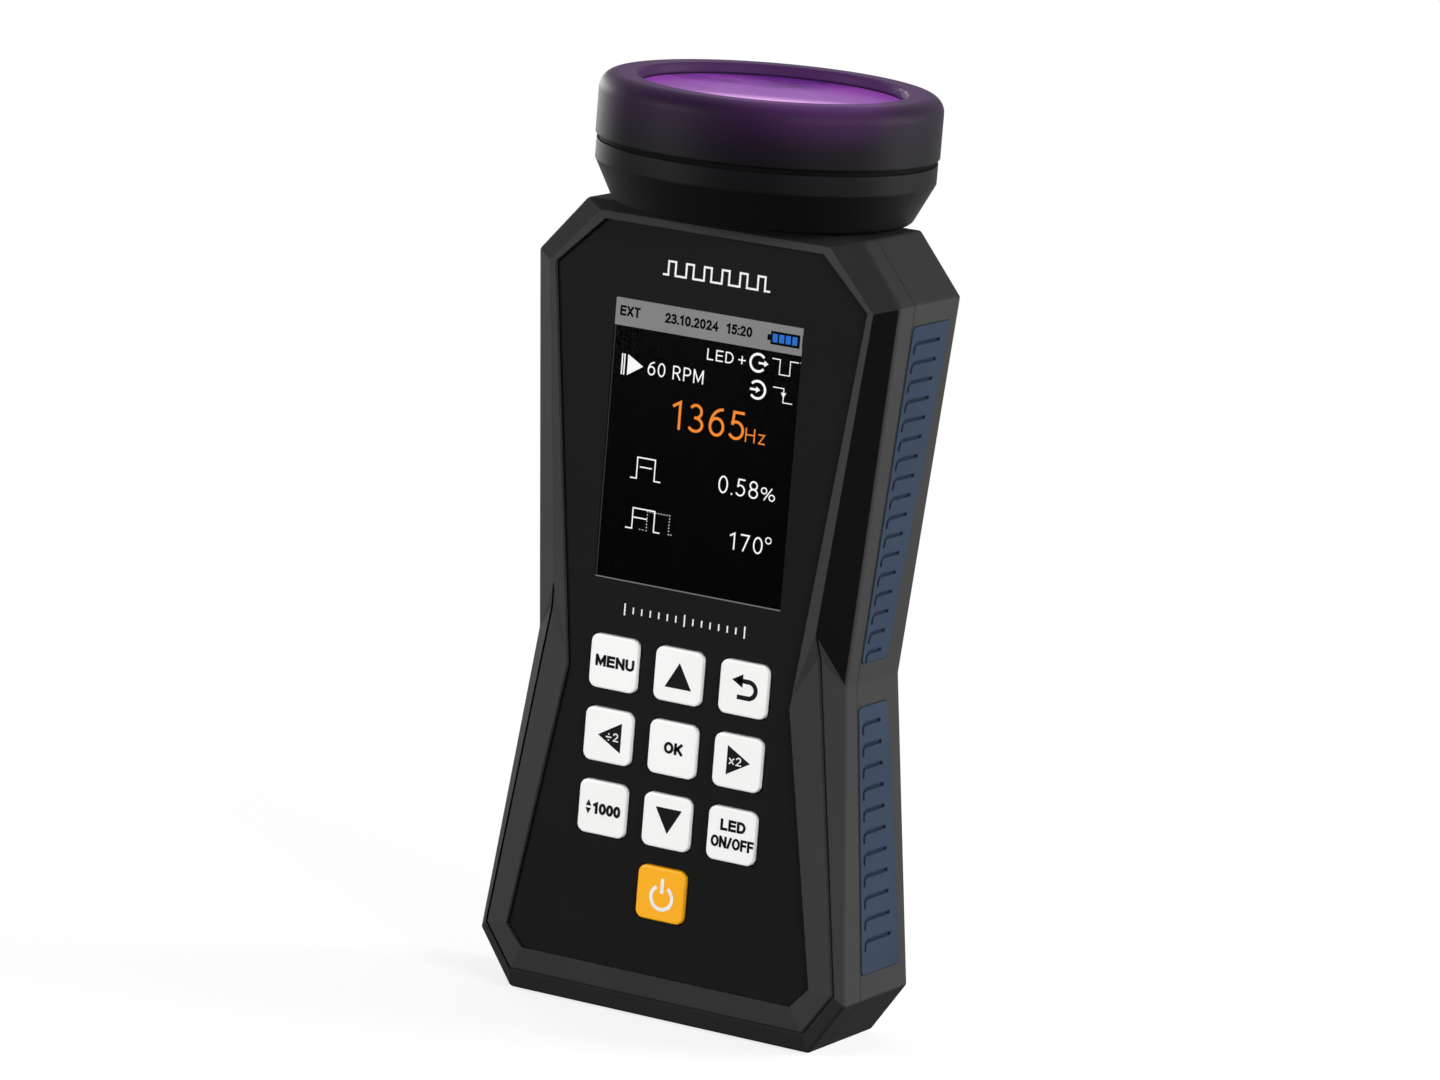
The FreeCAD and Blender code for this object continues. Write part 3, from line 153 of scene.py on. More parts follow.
class Wiring(Graph):
    """Wires the node group of each effect. Those of its inputs that are lengths are in metres."""

    GRAIN_SHARES = (0.6, 0.4)
    WEAR_TURN = (0.01, 0.2)
    WEAR_BREAKS = (0.35, 0.7, 0.15, 1.0)
    SMUDGES = (0.42, 0.72)
    SCRATCHES = (0.72, 0.78)
    SCRATCH_PLACE = {"Rotation": (0.3, 0.9, 0.5), "Scale": (1.0, 0.05, 1.0)}
    SCRATCHES_PER_SMUDGE = 60.0
    STREAK_PLACE = {"Rotation": (0.0, 0.4, 0.2), "Scale": (1.0, 1.0, 0.04)}
    # painted light of the lamp round its lens: the rim's fall and peak, and the patch's place and edge
    RIM_FALL = -380.0
    RIM_PEAK = 2.1
    SPOT = {"Location": (0.0131, -0.0156, 0.1905), "Rotation": (0.0, 0.0, 0.501), "Scale": (1.35, 1.0, 0.67)}
    SPOT_EDGE = (0.013, 0.018)
    # FORWARD faces the camera's side: the glow's painted highlight rises that way
    FORWARD = (0.48, -0.876, 0.0)
    ASIDE = (0.876, 0.48, 0.0)
    CLOUD_SCALE = 75.0
    CLOUDS = (-0.45, 0.45)
    BODY = (-0.95, -0.3)
    BAND = (0.14, 0.5)
    BAND_CLOUDS = (-0.3, 0.2, 0.8, 1.0)
    BAND_ENDS = (0.4, 0.95, 1.0, 0.0)
    TRACK_SIDES = (0.40, 0.43)

    def __init__(self, tree: bpy.types.NodeTree) -> None:
        """Keeps the group's tree, and adds what gives its inputs."""
        super().__init__(tree)
        self.given = tree.nodes.new("NodeGroupInput").outputs

    def turned(self, turn: Sockets, **settings: str) -> Socket:
        """Position on the piece, turned and scaled."""
        return self.first("Mapping", {"Vector": self.place(), **turn}, **settings)

    def cells(self, feature: str, distance: str = "EUCLIDEAN", **more: float) -> Socket:
        """Distance from the middles of cells."""
        sockets = {"Vector": self.place(), "Scale": self.given["Scale"], **more}
        return self.first("TexVoronoi", sockets, feature=feature, distance=distance)

    def grain(self) -> Sockets:
        """Moulded grain: a fine spark texture and broad patches.

        Returns:
            Height of the texture, and the mask of the Patches.
        """
        fine, coarse = self.GRAIN_SHARES
        pits = self.maths("MULTIPLY", self.cells(feature="SMOOTH_F1"), coarse)
        height = self.maths("MULTIPLY_ADD", self.noise(self.given["Scale"], 3.0), fine, pits)
        patches = self.spread(self.noise(self.given["Patch Scale"], 4.0), *MOST)
        return {"Height": height, "Patches": patches}

    def edges(self) -> Sockets:
        """Rounded normals at edges, and a broken mask of the wear along them.

        Returns:
            Mask of the Wear, and the rounded Normal.
        """
        rounded = self.first("Bevel", {"Radius": self.given["Radius"]}, samples=4)
        plain = self.add("NewGeometry").outputs["Normal"]
        turn = self.spread(self.maths("SUBTRACT", 1.0, self.dot(rounded, plain)), *self.WEAR_TURN)
        broken = self.spread(self.noise(self.given["Break Scale"], 5.0), *self.WEAR_BREAKS)
        return {"Wear": self.maths("MULTIPLY", turn, broken), "Normal": rounded}

    def handling(self) -> Sockets:
        """Smudges from fingers, and sparse hair scratches.

        Returns:
            Masks of Smudge and Scratch.
        """
        smudge = self.spread(self.noise(self.given["Scale"], 5.0), *self.SMUDGES)
        scale = self.maths("MULTIPLY", self.given["Scale"], self.SCRATCHES_PER_SMUDGE)
        lines = self.noise(scale, 1.0, self.turned(self.SCRATCH_PLACE))
        return {"Smudge": smudge, "Scratch": self.spread(lines, *self.SCRATCHES)}

    def streaks(self) -> Sockets:
        """Fine parallel lines that a cutting tool leaves on metal: their Height and Shade."""
        lines = self.noise(self.given["Scale"], 2.0, self.turned(self.STREAK_PLACE))
        return {"Height": lines, "Shade": self.spread(lines, *MOST)}

    def painted_spill(self) -> Sockets:
        """Painted light of the lamp round its lens: a close rim, and a wide patch over the front.

        Returns:
            Share of the painted light's colour.
        """
        x, y, z = self.parts(self.place())
        out = self.maths("SUBTRACT", self.length(x, y), self.given["Lens Radius"])
        down = self.maths("SUBTRACT", self.given["Lens Height"], z)
        gap = self.length(self.maths("MAXIMUM", out, 0.0), down)
        fall = self.maths("EXPONENT", self.maths("MULTIPLY", gap, self.RIM_FALL))
        rim = self.maths("MINIMUM", self.maths("MULTIPLY", fall, self.RIM_PEAK), self.given["Rim"])
        spot = self.turned(self.SPOT, vector_type="TEXTURE")
        far = self.add("VectorMath", {0: spot}, operation="LENGTH").outputs["Value"]
        patch = self.maths("POWER", self.spread(far, *self.SPOT_EDGE, 1.0, 0.0), 2.0)
        return {"Share": self.maths("MULTIPLY_ADD", patch, self.given["Patch"], rim)}

    def glow(self) -> Sockets:
        """Cloudy light of a lens: deep at the back, and towards the front edge a painted highlight, brightest
        in a band along it.

        Returns:
            Body, from the deep to the middle colour, and Band, the share of the bright one, a painted
            highlight.
        """
        ways = (self.dot(self.place(), way) for way in (self.FORWARD, self.ASIDE))
        forward, aside = (self.maths("DIVIDE", way, self.given["Lens Radius"]) for way in ways)
        clouds = self.spread(self.noise(self.CLOUD_SCALE, 4.0), *MOST, *self.CLOUDS)
        body = self.spread(self.maths("ADD", forward, clouds), *self.BODY)
        clear = self.spread(clouds, *self.BAND_CLOUDS)
        band = self.maths("MULTIPLY", self.spread(forward, *self.BAND), clear)
        ends = self.spread(self.maths("ABSOLUTE", aside), *self.BAND_ENDS)
        return {"Body": body, "Band": self.maths("MULTIPLY", band, ends)}

    def dots(self) -> Sockets:
        """Square dots in rows.

        Returns:
            Mask of what is Lit.
        """
        x, _, z = self.parts(self.place())
        turns = (self.maths("FRACT", self.maths("DIVIDE", part, self.given["Pitch"])) for part in (x, z))
        lit = (self.maths("LESS_THAN", turn, self.given["Lit Share"]) for turn in turns)
        return {"Lit": self.maths("MULTIPLY", *lit)}

    def tracks(self) -> Sockets:
        """Mask of copper Tracks in a square net."""
        cells = self.cells(feature="F1", distance="CHEBYCHEV", Randomness=0.0)
        return {"Tracks": self.spread(cells, *self.TRACK_SIDES)}


class Effect(Enum):
    """Effects that more than one material uses: the node group's name, what wires it, and its inputs."""

    GRAIN = ("surface_grain", Wiring.grain, "Scale", "Patch Scale")
    EDGES = ("edge_wear", Wiring.edges, "Radius", "Break Scale")
    HANDLING = ("handling_marks", Wiring.handling, "Scale")
    STREAKS = ("tool_streaks", Wiring.streaks, "Scale")
    # painted light of the lamp on what stands round its lens
    SPILL = ("painted_lamp_spill", Wiring.painted_spill, "Lens Radius", "Lens Height", "Rim", "Patch")
    # lamp light on a lens, with a painted highlight towards its front edge
    GLOW = ("lamp_glow", Wiring.glow, "Lens Radius")
    DOTS = ("display_dots", Wiring.dots, "Pitch", "Lit Share")
    TRACKS = ("copper_tracks", Wiring.tracks, "Scale")

    @cache
    def group(self) -> bpy.types.NodeTree:
        """Builds the node group, once.

        Returns:
            The group.
        """
        name, wire, *inputs = self.value
        tree = bpy.data.node_groups.new(name, "ShaderNodeTree")
        for item in inputs:
            tree.interface.new_socket(item, in_out="INPUT", socket_type="NodeSocketFloat")
        outputs = wire(Wiring(tree))
        end = tree.nodes.new("NodeGroupOutput")
        for item, socket in outputs.items():
            kind = "NodeSocketVector" if socket.type == "VECTOR" else "NodeSocketFloat"
            tree.interface.new_socket(item, in_out="OUTPUT", socket_type=kind)
            tree.links.new(socket, end.inputs[item])
        return tree


@dataclass(frozen=True)
class Finish:
    """What every finish has: a name, a colour, and a material round one surface shader."""

    name: str
    colour: Colour

    @cache
    def material(self) -> bpy.types.Material:
        """Builds the material, once.

        Returns:
            The material.
        """
        made = bpy.data.materials.new("finish_" + self.name)
        made.use_nodes = True
        graph = Graph(made.node_tree)
        surface = graph.first("BsdfPrincipled", self.sockets(graph))
        graph.add("OutputMaterial", {"Surface": surface})
        return made

    def sockets(self, graph: Graph) -> Sockets:
        """Inputs of the surface shader, which each kind of finish gives."""
        raise NotImplementedError(self.name)


@dataclass(frozen=True)
class PaintedSpill:
    """Painted light of the lamp on a finish near its lens, given off by the finish: a close rim up to a
    share, and a wide patch.
    """

    colour: Colour
    radius: float = 26.5
    height: float = 190.5
    rim: float = 0.36
    patch: float = 0.3

    def share(self, graph: Graph) -> Socket:
        """Share of the painted light over a finish's surface."""
        sizes = {"Lens Radius": self.radius * MM, "Lens Height": self.height * MM}
        return graph.effect(Effect.SPILL, {**sizes, "Rim": self.rim, "Patch": self.patch})["Share"]


@dataclass(frozen=True)
class Moulded(Finish):
    """Moulded plastic or rubber with grain, smudges, scratches and worn edges."""

    patch: Colour
    worn: Colour
    rough: Point = (0.42, 0.6)
    grain: float = 5200.0
    patches: float = 45.0
    breaks: float = 900.0
    relief: float = 0.03
    strength: float = 0.35
    edge: float = 0.35
    wear: float = 0.5
    smudge: float = -0.06
    scratch: float = 0.08
    cut: float = -0.3
    specular: float = 0.3
    coat: float = 0.0
    coat_rough: float = 0.25
    # painted light of the lamp near its lens, given off as emission
    painted_spill: PaintedSpill | None = None

    def sockets(self, graph: Graph) -> Sockets:
        """Wires the finish.

        Args:
            graph: The material's tree.

        Returns:
            Inputs of the surface shader.
        """
        grain = graph.effect(Effect.GRAIN, {"Scale": self.grain, "Patch Scale": self.patches})
        edges = graph.effect(Effect.EDGES, {"Radius": self.edge * MM, "Break Scale": self.breaks})
        marks = graph.effect(Effect.HANDLING, {"Scale": self.patches})
        colour = graph.blend(grain["Patches"], self.colour, self.patch)
        colour = graph.blend(graph.maths("MULTIPLY", edges["Wear"], self.wear), colour, self.worn)
        rough = graph.between(grain["Patches"], *self.rough)
        rough = graph.maths("MULTIPLY_ADD", marks["Smudge"], self.smudge, rough)
        height = graph.maths("MULTIPLY_ADD", marks["Scratch"], self.cut, grain["Height"])
        sockets = {
            "Base Color": self.shaded(graph, colour),
            "Roughness": graph.maths("MULTIPLY_ADD", marks["Scratch"], self.scratch, rough),
            "Normal": graph.bump(height, self.relief, self.strength, Normal=edges["Normal"]),
            "Specular IOR Level": self.specular,
            "Coat Weight": self.coat,
            "Coat Roughness": self.coat_rough,
        }
        # paints the lamp's light on the finish as emission
        if self.painted_spill:
            sockets["Emission Color"] = graph.blend(self.painted_spill.share(graph), BLACK, self.painted_spill.colour)
            sockets["Emission Strength"] = 1.0
        return sockets

    def shaded(self, graph: Graph, colour: Socket) -> Socket:
        """The colour after any change that depends on the place; here there is none."""
        return colour


@dataclass(frozen=True)
class Faceted(Moulded):
    """A moulding with painted shade: partly darker where it leans up or down, and wholly dark where it faces
    one way.
    """

    # colour of the painted shade
    dark: Colour = BLACK
    facing: Place = (0.592, -0.804, -0.061)
    match: Point = (0.986, 0.997)
    lean: Point = (0.12, 0.4)
    part: float = 0.5

    def shaded(self, graph: Graph, colour: Socket) -> Socket:
        """Paints shade on the facets.

        Args:
            graph: The material's tree.
            colour: The colour so far.

        Returns:
            The changed colour.
        """
        normal = graph.add("NewGeometry").outputs["Normal"]
        # painted shade: whole where the normal meets the facing direction, partial where it leans up or down
        painted_facing_shade = graph.spread(graph.dot(normal, self.facing), *self.match)
        rise = graph.maths("ABSOLUTE", graph.parts(normal)[2])
        painted_lean_shade = graph.spread(rise, *self.lean, 0.0, self.part)
        return graph.blend(graph.maths("MAXIMUM", painted_facing_shade, painted_lean_shade), colour, self.dark)


@dataclass(frozen=True)
class Grooved(Moulded):
    """A moulding on both sides of the object, in an upper and a lower piece, with painted shade in its
    grooves.

    A piece's outer plane is a share of x, a share of z and a distance. Under it, the painted shade is whole
    at the first depth and begins at the second. The border is the height between the pieces.
    """

    # colour of the painted shade in the grooves
    dark: Colour = BLACK
    upper: Place = (0.997, -0.074, 30.59)
    lower: Place = (0.994, 0.108, 44.27)
    border: float = 75.8
    depths: Point = (0.12, 0.4)

    def shaded(self, graph: Graph, colour: Socket) -> Socket:
        """Paints shade on what lies under the outer planes.

        Args:
            graph: The material's tree.
            colour: The colour so far.

        Returns:
            The changed colour.
        """
        away = graph.first("VectorMath", {0: graph.place()}, operation="ABSOLUTE")
        sunk = []
        for across, up, far in (self.lower, self.upper):
            ends = [(far - depth) * MM for depth in self.depths]
            sunk.append(graph.spread(graph.dot(away, (across, 0.0, up)), *ends))
        above = graph.maths("GREATER_THAN", graph.parts(away)[2], self.border * MM)
        # painted shade in the grooves, by the lower or the upper piece's depth
        deep = graph.first("Mix", {0: above, 2: sunk[0], 3: sunk[1]})
        return graph.blend(deep, colour, self.dark)


@dataclass(frozen=True)
class Metal(Finish):
    """Machined or plated metal with tool lines, tarnish and worn edges."""

    dark: Colour
    rough: Point = (0.22, 0.42)
    lines: float = 3000.0
    relief: float = 0.02
    strength: float = 0.3
    edge: float = 0.15
    breaks: float = 1500.0
    grain: float = 4000.0
    patches: float = 220.0
    tarnish: float = 0.7
    wear: float = 0.6

    def sockets(self, graph: Graph) -> Sockets:
        """Wires the finish.

        Args:
            graph: The material's tree.

        Returns:
            Inputs of the surface shader.
        """
        lines = graph.effect(Effect.STREAKS, {"Scale": self.lines})
        edges = graph.effect(Effect.EDGES, {"Radius": self.edge * MM, "Break Scale": self.breaks})
        grain = graph.effect(Effect.GRAIN, {"Scale": self.grain, "Patch Scale": self.patches})
        tone = graph.blend(graph.maths("MULTIPLY", grain["Patches"], self.tarnish), self.colour, self.dark)
        return {
            "Base Color": graph.blend(graph.maths("MULTIPLY", edges["Wear"], self.wear), tone, self.colour),
            "Roughness": graph.between(lines["Shade"], *self.rough),
            "Normal": graph.bump(lines["Height"], self.relief, self.strength, Normal=edges["Normal"]),
            "Metallic": 1.0,
        }


@dataclass(frozen=True)
class Glass(Finish):
    """Clear window with faint smears."""

    rough: Point = (0.02, 0.05)
    marks: float = 60.0
    ior: float = 1.49

    def sockets(self, graph: Graph) -> Sockets:
        """Inputs of the surface shader."""
        rough = graph.between(graph.effect(Effect.HANDLING, {"Scale": self.marks})["Smudge"], *self.rough)
        return {"Base Color": self.colour, "Roughness": rough, "Transmission Weight": 1.0, "IOR": self.ior}


@dataclass(frozen=True)
class Ink(Finish):
    """Printed ink, slightly uneven."""

    thin: Colour
    rough: Point = (0.4, 0.6)
    grain: float = 9000.0
    patches: float = 700.0
    relief: float = 0.01
    strength: float = 0.3
    specular: float = 0.08

    def sockets(self, graph: Graph) -> Sockets:
        """Wires the finish.

        Args:
            graph: The material's tree.

        Returns:
            Inputs of the surface shader.
        """
        grain = graph.effect(Effect.GRAIN, {"Scale": self.grain, "Patch Scale": self.patches})
        return {
            "Base Color": graph.blend(grain["Patches"], self.colour, self.thin),
            "Roughness": graph.between(grain["Patches"], *self.rough),
            "Normal": graph.bump(grain["Height"], self.relief, self.strength),
            "Specular IOR Level": self.specular,
        }


@dataclass(frozen=True)
class Pixels(Finish):
    """Lit dots of a display.

    The pitch is from dot to dot, and a dot fills the share lit of it. Between is the share of the light
    between dots, uneven that in the dullest patches, and off that of the colour where no light is.
    """

    strength: float = 1.0
    pitch: float = 0.18
    lit: float = 0.88
    between: float = 0.72
    uneven: float = 0.93
    off: float = 0.02
    rough: Point = (0.3, 0.5)
    grain: float = 5000.0
    patches: float = 90.0
    ground: Linear = (0.0005, 0.0005, 0.0005, 1.0)

    def sockets(self, graph: Graph) -> Sockets:
        """Wires the finish.

        Args:
            graph: The material's tree.

        Returns:
            Inputs of the surface shader.
        """
        lit = graph.effect(Effect.DOTS, {"Pitch": self.pitch * MM, "Lit Share": self.lit})["Lit"]
        grain = graph.effect(Effect.GRAIN, {"Scale": self.grain, "Patch Scale": self.patches})
        even = graph.between(grain["Patches"], self.uneven, 1.0)
        shade = graph.maths("MULTIPLY", graph.between(lit, self.between, 1.0), even)
        red, green, blue, _ = (self.off * part for part in srgb(self.colour))
        return {
            "Base Color": self.ground,
            "Roughness": graph.between(grain["Height"], *self.rough),
            "Emission Color": graph.blend(shade, (red, green, blue, 1.0), self.colour),
            "Emission Strength": self.strength,
            "Specular IOR Level": 0.0,
        }


@dataclass(frozen=True)
class LampGlow(Finish):
    """Lit lamp lens: cloudy light from its own deep colour to a middle and a bright one, the bright one a
    painted highlight.
    """

    middle: Colour
    bright: Colour
    strength: float = 1.0
    radius: float = 27.0
    marks: float = 70.0
    rough: Point = (0.24, 0.3)
    specular: float = 0.02

    def sockets(self, graph: Graph) -> Sockets:
        """Wires the finish.

        Args:
            graph: The material's tree.

        Returns:
            Inputs of the surface shader.
        """
        smudge = graph.effect(Effect.HANDLING, {"Scale": self.marks})["Smudge"]
        glow = graph.effect(Effect.GLOW, {"Lens Radius": self.radius * MM})
        body = graph.blend(glow["Body"], self.colour, self.middle)
        return {
            "Base Color": self.colour,
            "Roughness": graph.between(smudge, *self.rough),
            # painted highlight: the bright colour in the band
            "Emission Color": graph.blend(glow["Band"], body, self.bright),
            "Emission Strength": self.strength,
            "Specular IOR Level": self.specular,
        }


@dataclass(frozen=True)
class CircuitBoard(Finish):
    """Solder mask over copper tracks."""

    track: Colour
    net: float = 260.0
    rough: Point = (0.25, 0.45)
    grain: float = 3000.0
    patches: float = 150.0
    relief: float = 0.03
    strength: float = 0.5

    def sockets(self, graph: Graph) -> Sockets:
        """Wires the finish.

        Args:
            graph: The material's tree.

        Returns:
            Inputs of the surface shader.
        """
        grain = graph.effect(Effect.GRAIN, {"Scale": self.grain, "Patch Scale": self.patches})
        tracks = graph.effect(Effect.TRACKS, {"Scale": self.net})["Tracks"]
        shown = graph.maths("MULTIPLY", tracks, grain["Patches"])
        return {
            "Base Color": graph.blend(shown, self.colour, self.track),
            "Roughness": graph.between(grain["Height"], *self.rough),
            "Normal": graph.bump(tracks, self.relief, self.strength),
        }


def put(name: str, data: bpy.types.ID) -> bpy.types.Object:
    """Puts a new object in the scene.

    Args:
        name: Its name.
        data: Its mesh, lamp or camera.

    Returns:
        The object.
    """
    made = bpy.data.objects.new(name, data)
    bpy.context.scene.collection.objects.link(made)
    return made


def stroke(points: Outline, width: float, cap: float = 0.0) -> Outline:
    """Outline of a line of even width with mitred corners.

    Args:
        points: The line's points.
        width: The line's width.
        cap: How far the line runs on past both its ends.

    Returns:
        The points of the closed outline.
    """
    line = [Vector(point) for point in points]
    line[0] = line[0] - (line[1] - line[0]).normalized() * cap
    line[-1] = line[-1] + (line[-1] - line[-2]).normalized() * cap
    sides: tuple[Outline, Outline] = ([], [])
    for i, spot in enumerate(line):
        ways = [(line[j + 1] - line[j]).normalized() for j in (i - 1, i) if 0 <= j < len(line) - 1]
        along = sum(ways, Vector((0.0, 0.0))).normalized()
        half = width / 2 / max(along.dot(ways[0]), SHARPEST)
        for side, sign in zip(sides, (1, -1)):
            side.append((spot.x - sign * along.y * half, spot.y + sign * along.x * half))
    return sides[0] + sides[1][::-1]


def arc(
    x: float, z: float, radius: float, start: float, end: float, steps: int = 28, tall: float = 0.0
) -> Outline:
    """Points of an arc from start to end in degrees from the right; tall is its upright radius if another."""
    turns = [math.radians(start + (end - start) * i / steps) for i in range(steps + 1)]
    return [(x + radius * math.cos(turn), z + (tall or radius) * math.sin(turn)) for turn in turns]


def block(left: float, right: float, low: float, high: float) -> Outline:
    """Corners of an upright rectangle."""
    return [(left, low), (right, low), (right, high), (left, high)]


@dataclass(frozen=True)
class Face:
    """A plane at y that faces the front, on which marks lie, thick before it and sunk behind it."""

    y: float
    thick: float = 0.02
    sunk: float = 0.02

    def solid(self, name: str, outlines: list[Outline]) -> bpy.types.Mesh:
        """Flat solids with the given outlines.

        Args:
            name: The mesh's name.
            outlines: Closed outlines across and up the plane.

        Returns:
            The mesh, in metres.
        """
        made = bmesh.new()
        for outline in outlines:
            back = [made.verts.new((x * MM, (self.y + self.sunk) * MM, z * MM)) for x, z in outline]
            front = [made.verts.new((x * MM, (self.y - self.thick) * MM, z * MM)) for x, z in outline]
            made.faces.new(front)
            made.faces.new(back[::-1])
            for i in range(len(outline)):
                made.faces.new((front[i - 1], front[i], back[i], back[i - 1]))
        bmesh.ops.recalc_face_normals(made, faces=made.faces)
        mesh = bpy.data.meshes.new(name)
        made.to_mesh(mesh)
        made.free()
        return mesh


class Pen:
    """Plain upright lettering, drawn with strokes of one width.

    A letter is its width in hundredths of its height, and then its strokes in a square of side one hundred.
    A stroke is a list of points and arcs. A point has two figures, and an arc has what the function takes.
    """

    LETTERS: dict[str, tuple] = {
        "0": (50, [(50, 50, 50, 0, 360)]),
        "1": (36, [(0, 84), (66, 100), (66, 0)]),
        "2": (48, [(48, 71, 46, 160, -32, 12, 29), (2, 0), (100, 0)]),
        "3": (46, [(42, 75.5, 46, 140, -90, 12, 24.5)], [(42, 25.5, 58, 90, -140, 12, 25.5)]),
        "4": (54, [(74, 0), (74, 97), (0, 29), (100, 29)]),
        "5": (46, [(95, 100), (20, 100), (12, 56)], [(42, 32, 58, 124, -140, 14, 32)]),
        "6": (50, [(50, 32, 50, 180, 540, 28, 32)], [(92, 32, 92, 180, 94, 10, 68)]),
        "7": (48, [(0, 100), (98, 100), (30, 0)]),
        "8": (50, [(50, 76, 42, 0, 360, 24, 24)], [(50, 26, 50, 0, 360, 24, 26)]),
        "D": (58, [(0, 0), (0, 100), (40, 50, 60, 90, -90, 14, 50), (0, 0)]),
        "E": (50, [(100, 100), (0, 100), (0, 0), (100, 0)], [(0, 53), (92, 53)]),
        "F": (46, [(100, 100), (0, 100), (0, 0)], [(0, 51), (88, 51)]),
        "H": (56, [(0, 0), (0, 100)], [(100, 0), (100, 100)], [(0, 53), (100, 53)]),
        "K": (56, [(0, 0), (0, 100)], [(92, 100), (0, 34)], [(32, 56), (98, 0)]),
        "L": (44, [(0, 100), (0, 0), (100, 0)]),
        "M": (70, [(0, 0), (0, 100)], [(100, 0), (100, 100)], [(4, 96), (50, 14), (96, 96)]),
        "N": (56, [(0, 0), (0, 100)], [(0, 100), (100, 0)], [(100, 0), (100, 100)]),
        "O": (64, [(50, 50, 50, 0, 360)]),
        "P": (50, [(0, 0), (0, 100), (50, 72, 50, 90, -90, 12, 28), (0, 44)]),
        "R": (54, [(0, 0), (0, 100), (46, 73.5, 46, 90, -90, 12, 26.5), (0, 47)], [(50, 47), (98, 0)]),
        "T": (50, [(0, 100), (100, 100)], [(50, 100), (50, 0)]),
        "U": (56, [(0, 100), (50, 32, 50, 180, 360, 14, 32), (100, 100)]),
        "X": (56, [(2, 0), (98, 100)], [(2, 100), (98, 0)]),
        "z": (38, [(0, 68), (95, 68), (5, 0), (100, 0)]),
        "/": (28, [(0, 0), (100, 100)]),
        ".": (1, [(0, 0), (0, 1)]),
        ":": (1, [(0, 0), (0, 1)], [(0, 66), (0, 67)]),
        "%": (80, [(20, 75, 20, 0, 360, 20, 25)], [(80, 25, 20, 0, 360, 20, 25)], [(24, 0), (76, 100)]),
        "÷": (50, [(0, 42), (100, 42)], [(50, 82), (50, 83)], [(50, 1), (50, 2)]),
        "×": (46, [(5, 8), (95, 74)], [(5, 74), (95, 8)]),
        " ": (10,),
    }
    GAP = 30

    @classmethod
    def write(cls, text: str, box: Box, weight: float) -> list[Outline]:
        """Outlines of a text that fills a box.

        Args:
            text: What it says.
            box: Left, right, foot and top of the text.
            weight: The strokes' width.

        Returns:
            Closed outlines across and up the plane.
        """
        left, right, low, high = box
        letters = [cls.LETTERS[letter] for letter in text]
        whole = sum(width for width, *_ in letters) + cls.GAP * (len(text) - 1)
        up = (high - low - weight) / 100
        across = (right - left - weight) / whole
        outlines = []
        at = left + weight / 2
        for width, *strokes in letters:
            for items in strokes:
                drawn = [point for item in items for point in ([item] if len(item) == 2 else arc(*item))]
                ring = len(items) == 1 and math.dist(drawn[0], drawn[-1]) < TOUCH
                points = [(at + x * across * width / 100, low + weight / 2 + z * up) for x, z in drawn]
                outlines.append(stroke(points, weight, 0.0 if ring else weight / 2))
            at += (width + cls.GAP) * across
        return outlines


# painted shade: darker on facets that lean up or down, and darkest on those that face front right
SHELL = Faceted(
    "shell_soft_touch", "373737", "3b3b3b", "545454", rough=(0.6, 0.74), specular=0.05, wear=0.4,
    dark="0e0e0e",
)
# the lamp's light round the lens is painted on the head as emission
HEAD = Moulded(
    "lamp_head_coating", "0b0b0b", "0d0d0d", "1e1e1e", rough=(0.5, 0.6), relief=0.0005, edge=0.5, wear=0.2,
    specular=0.08, painted_spill=PaintedSpill("6c3482"),
)
PLATE = Moulded(
    "face_plate_film", "171717", "191919", "343434", rough=(0.55, 0.68), relief=0.01, edge=0.12, wear=0.4,
    specular=0.03,
)
KEY = Moulded("key_white", "f7f7f6", "f2f1ef", "c9c8c4", rough=(0.38, 0.5), relief=0.012, edge=0.3, wear=0.35)
POWER_KEY = Moulded(
    "key_amber", "fcb114", "f6a912", "c98a20", rough=(0.38, 0.5), relief=0.012, edge=0.3, wear=0.35
)
# painted shade in the grooves, 1a2333
GRIP = Grooved(
    "grip_blue_rubber", "313d4d", "2c3747", "222b38", rough=(0.7, 0.82), grain=3600.0, relief=0.05,
    strength=0.5, edge=0.6, wear=0.6, specular=0.08, dark="1a2333",
)
SEAL = Moulded("seal_rubber", "080808", "0b0b0b", "161616", rough=(0.7, 0.85), specular=0.05)
# the lamp's light round the lens is painted on the gasket as emission
GASKET = Moulded(
    "gasket_rubber", "0c080e", "0f0b11", "1a141c", rough=(0.7, 0.85), specular=0.05, painted_spill=PaintedSpill("3d1c4e")
)
INNER = Moulded("inner_plastic", "3a3a3c", "434345", "6a6a6a", rough=(0.45, 0.6))
SOCKET = Moulded("socket_plastic", "151515", "1a1a1a", "3c3c3c", rough=(0.35, 0.5))
BATTERY = Moulded("battery_wrap", "24507e", "1f4872", "6a86a5", rough=(0.3, 0.45), coat=0.3)
CHIP = Moulded("chip_epoxy", "1b1b1d", "222224", "3e3e40", rough=(0.5, 0.65), grain=7000.0)
COIL = Moulded("coil_lacquer", "6d3b1c", "7d4722", "a06a3a", rough=(0.3, 0.45), coat=0.3)
BACKLIGHT = Moulded("backlight_film", "d9dbdc", "cfd2d4", "b4b6b8", rough=(0.3, 0.4))
PANEL = Moulded("panel_glass", "08080a", "0b0b0d", "2a2a2c", rough=(0.15, 0.25), edge=0.1)
STEEL = Metal("screw_steel", "8c8d8f", "56575a")
BRASS = Metal("bush_brass", "b39a5c", "8a7440")
NICKEL = Metal("contact_nickel", "b9b5a9", "8d897c")
SINK = Metal("sink_aluminium", "a5a8ab", "7d8083", rough=(0.35, 0.55))
MIRROR = Metal("reflector_mirror", "d6d2dc", "b9b4c2", rough=(0.08, 0.18), lines=900.0, relief=0.005)
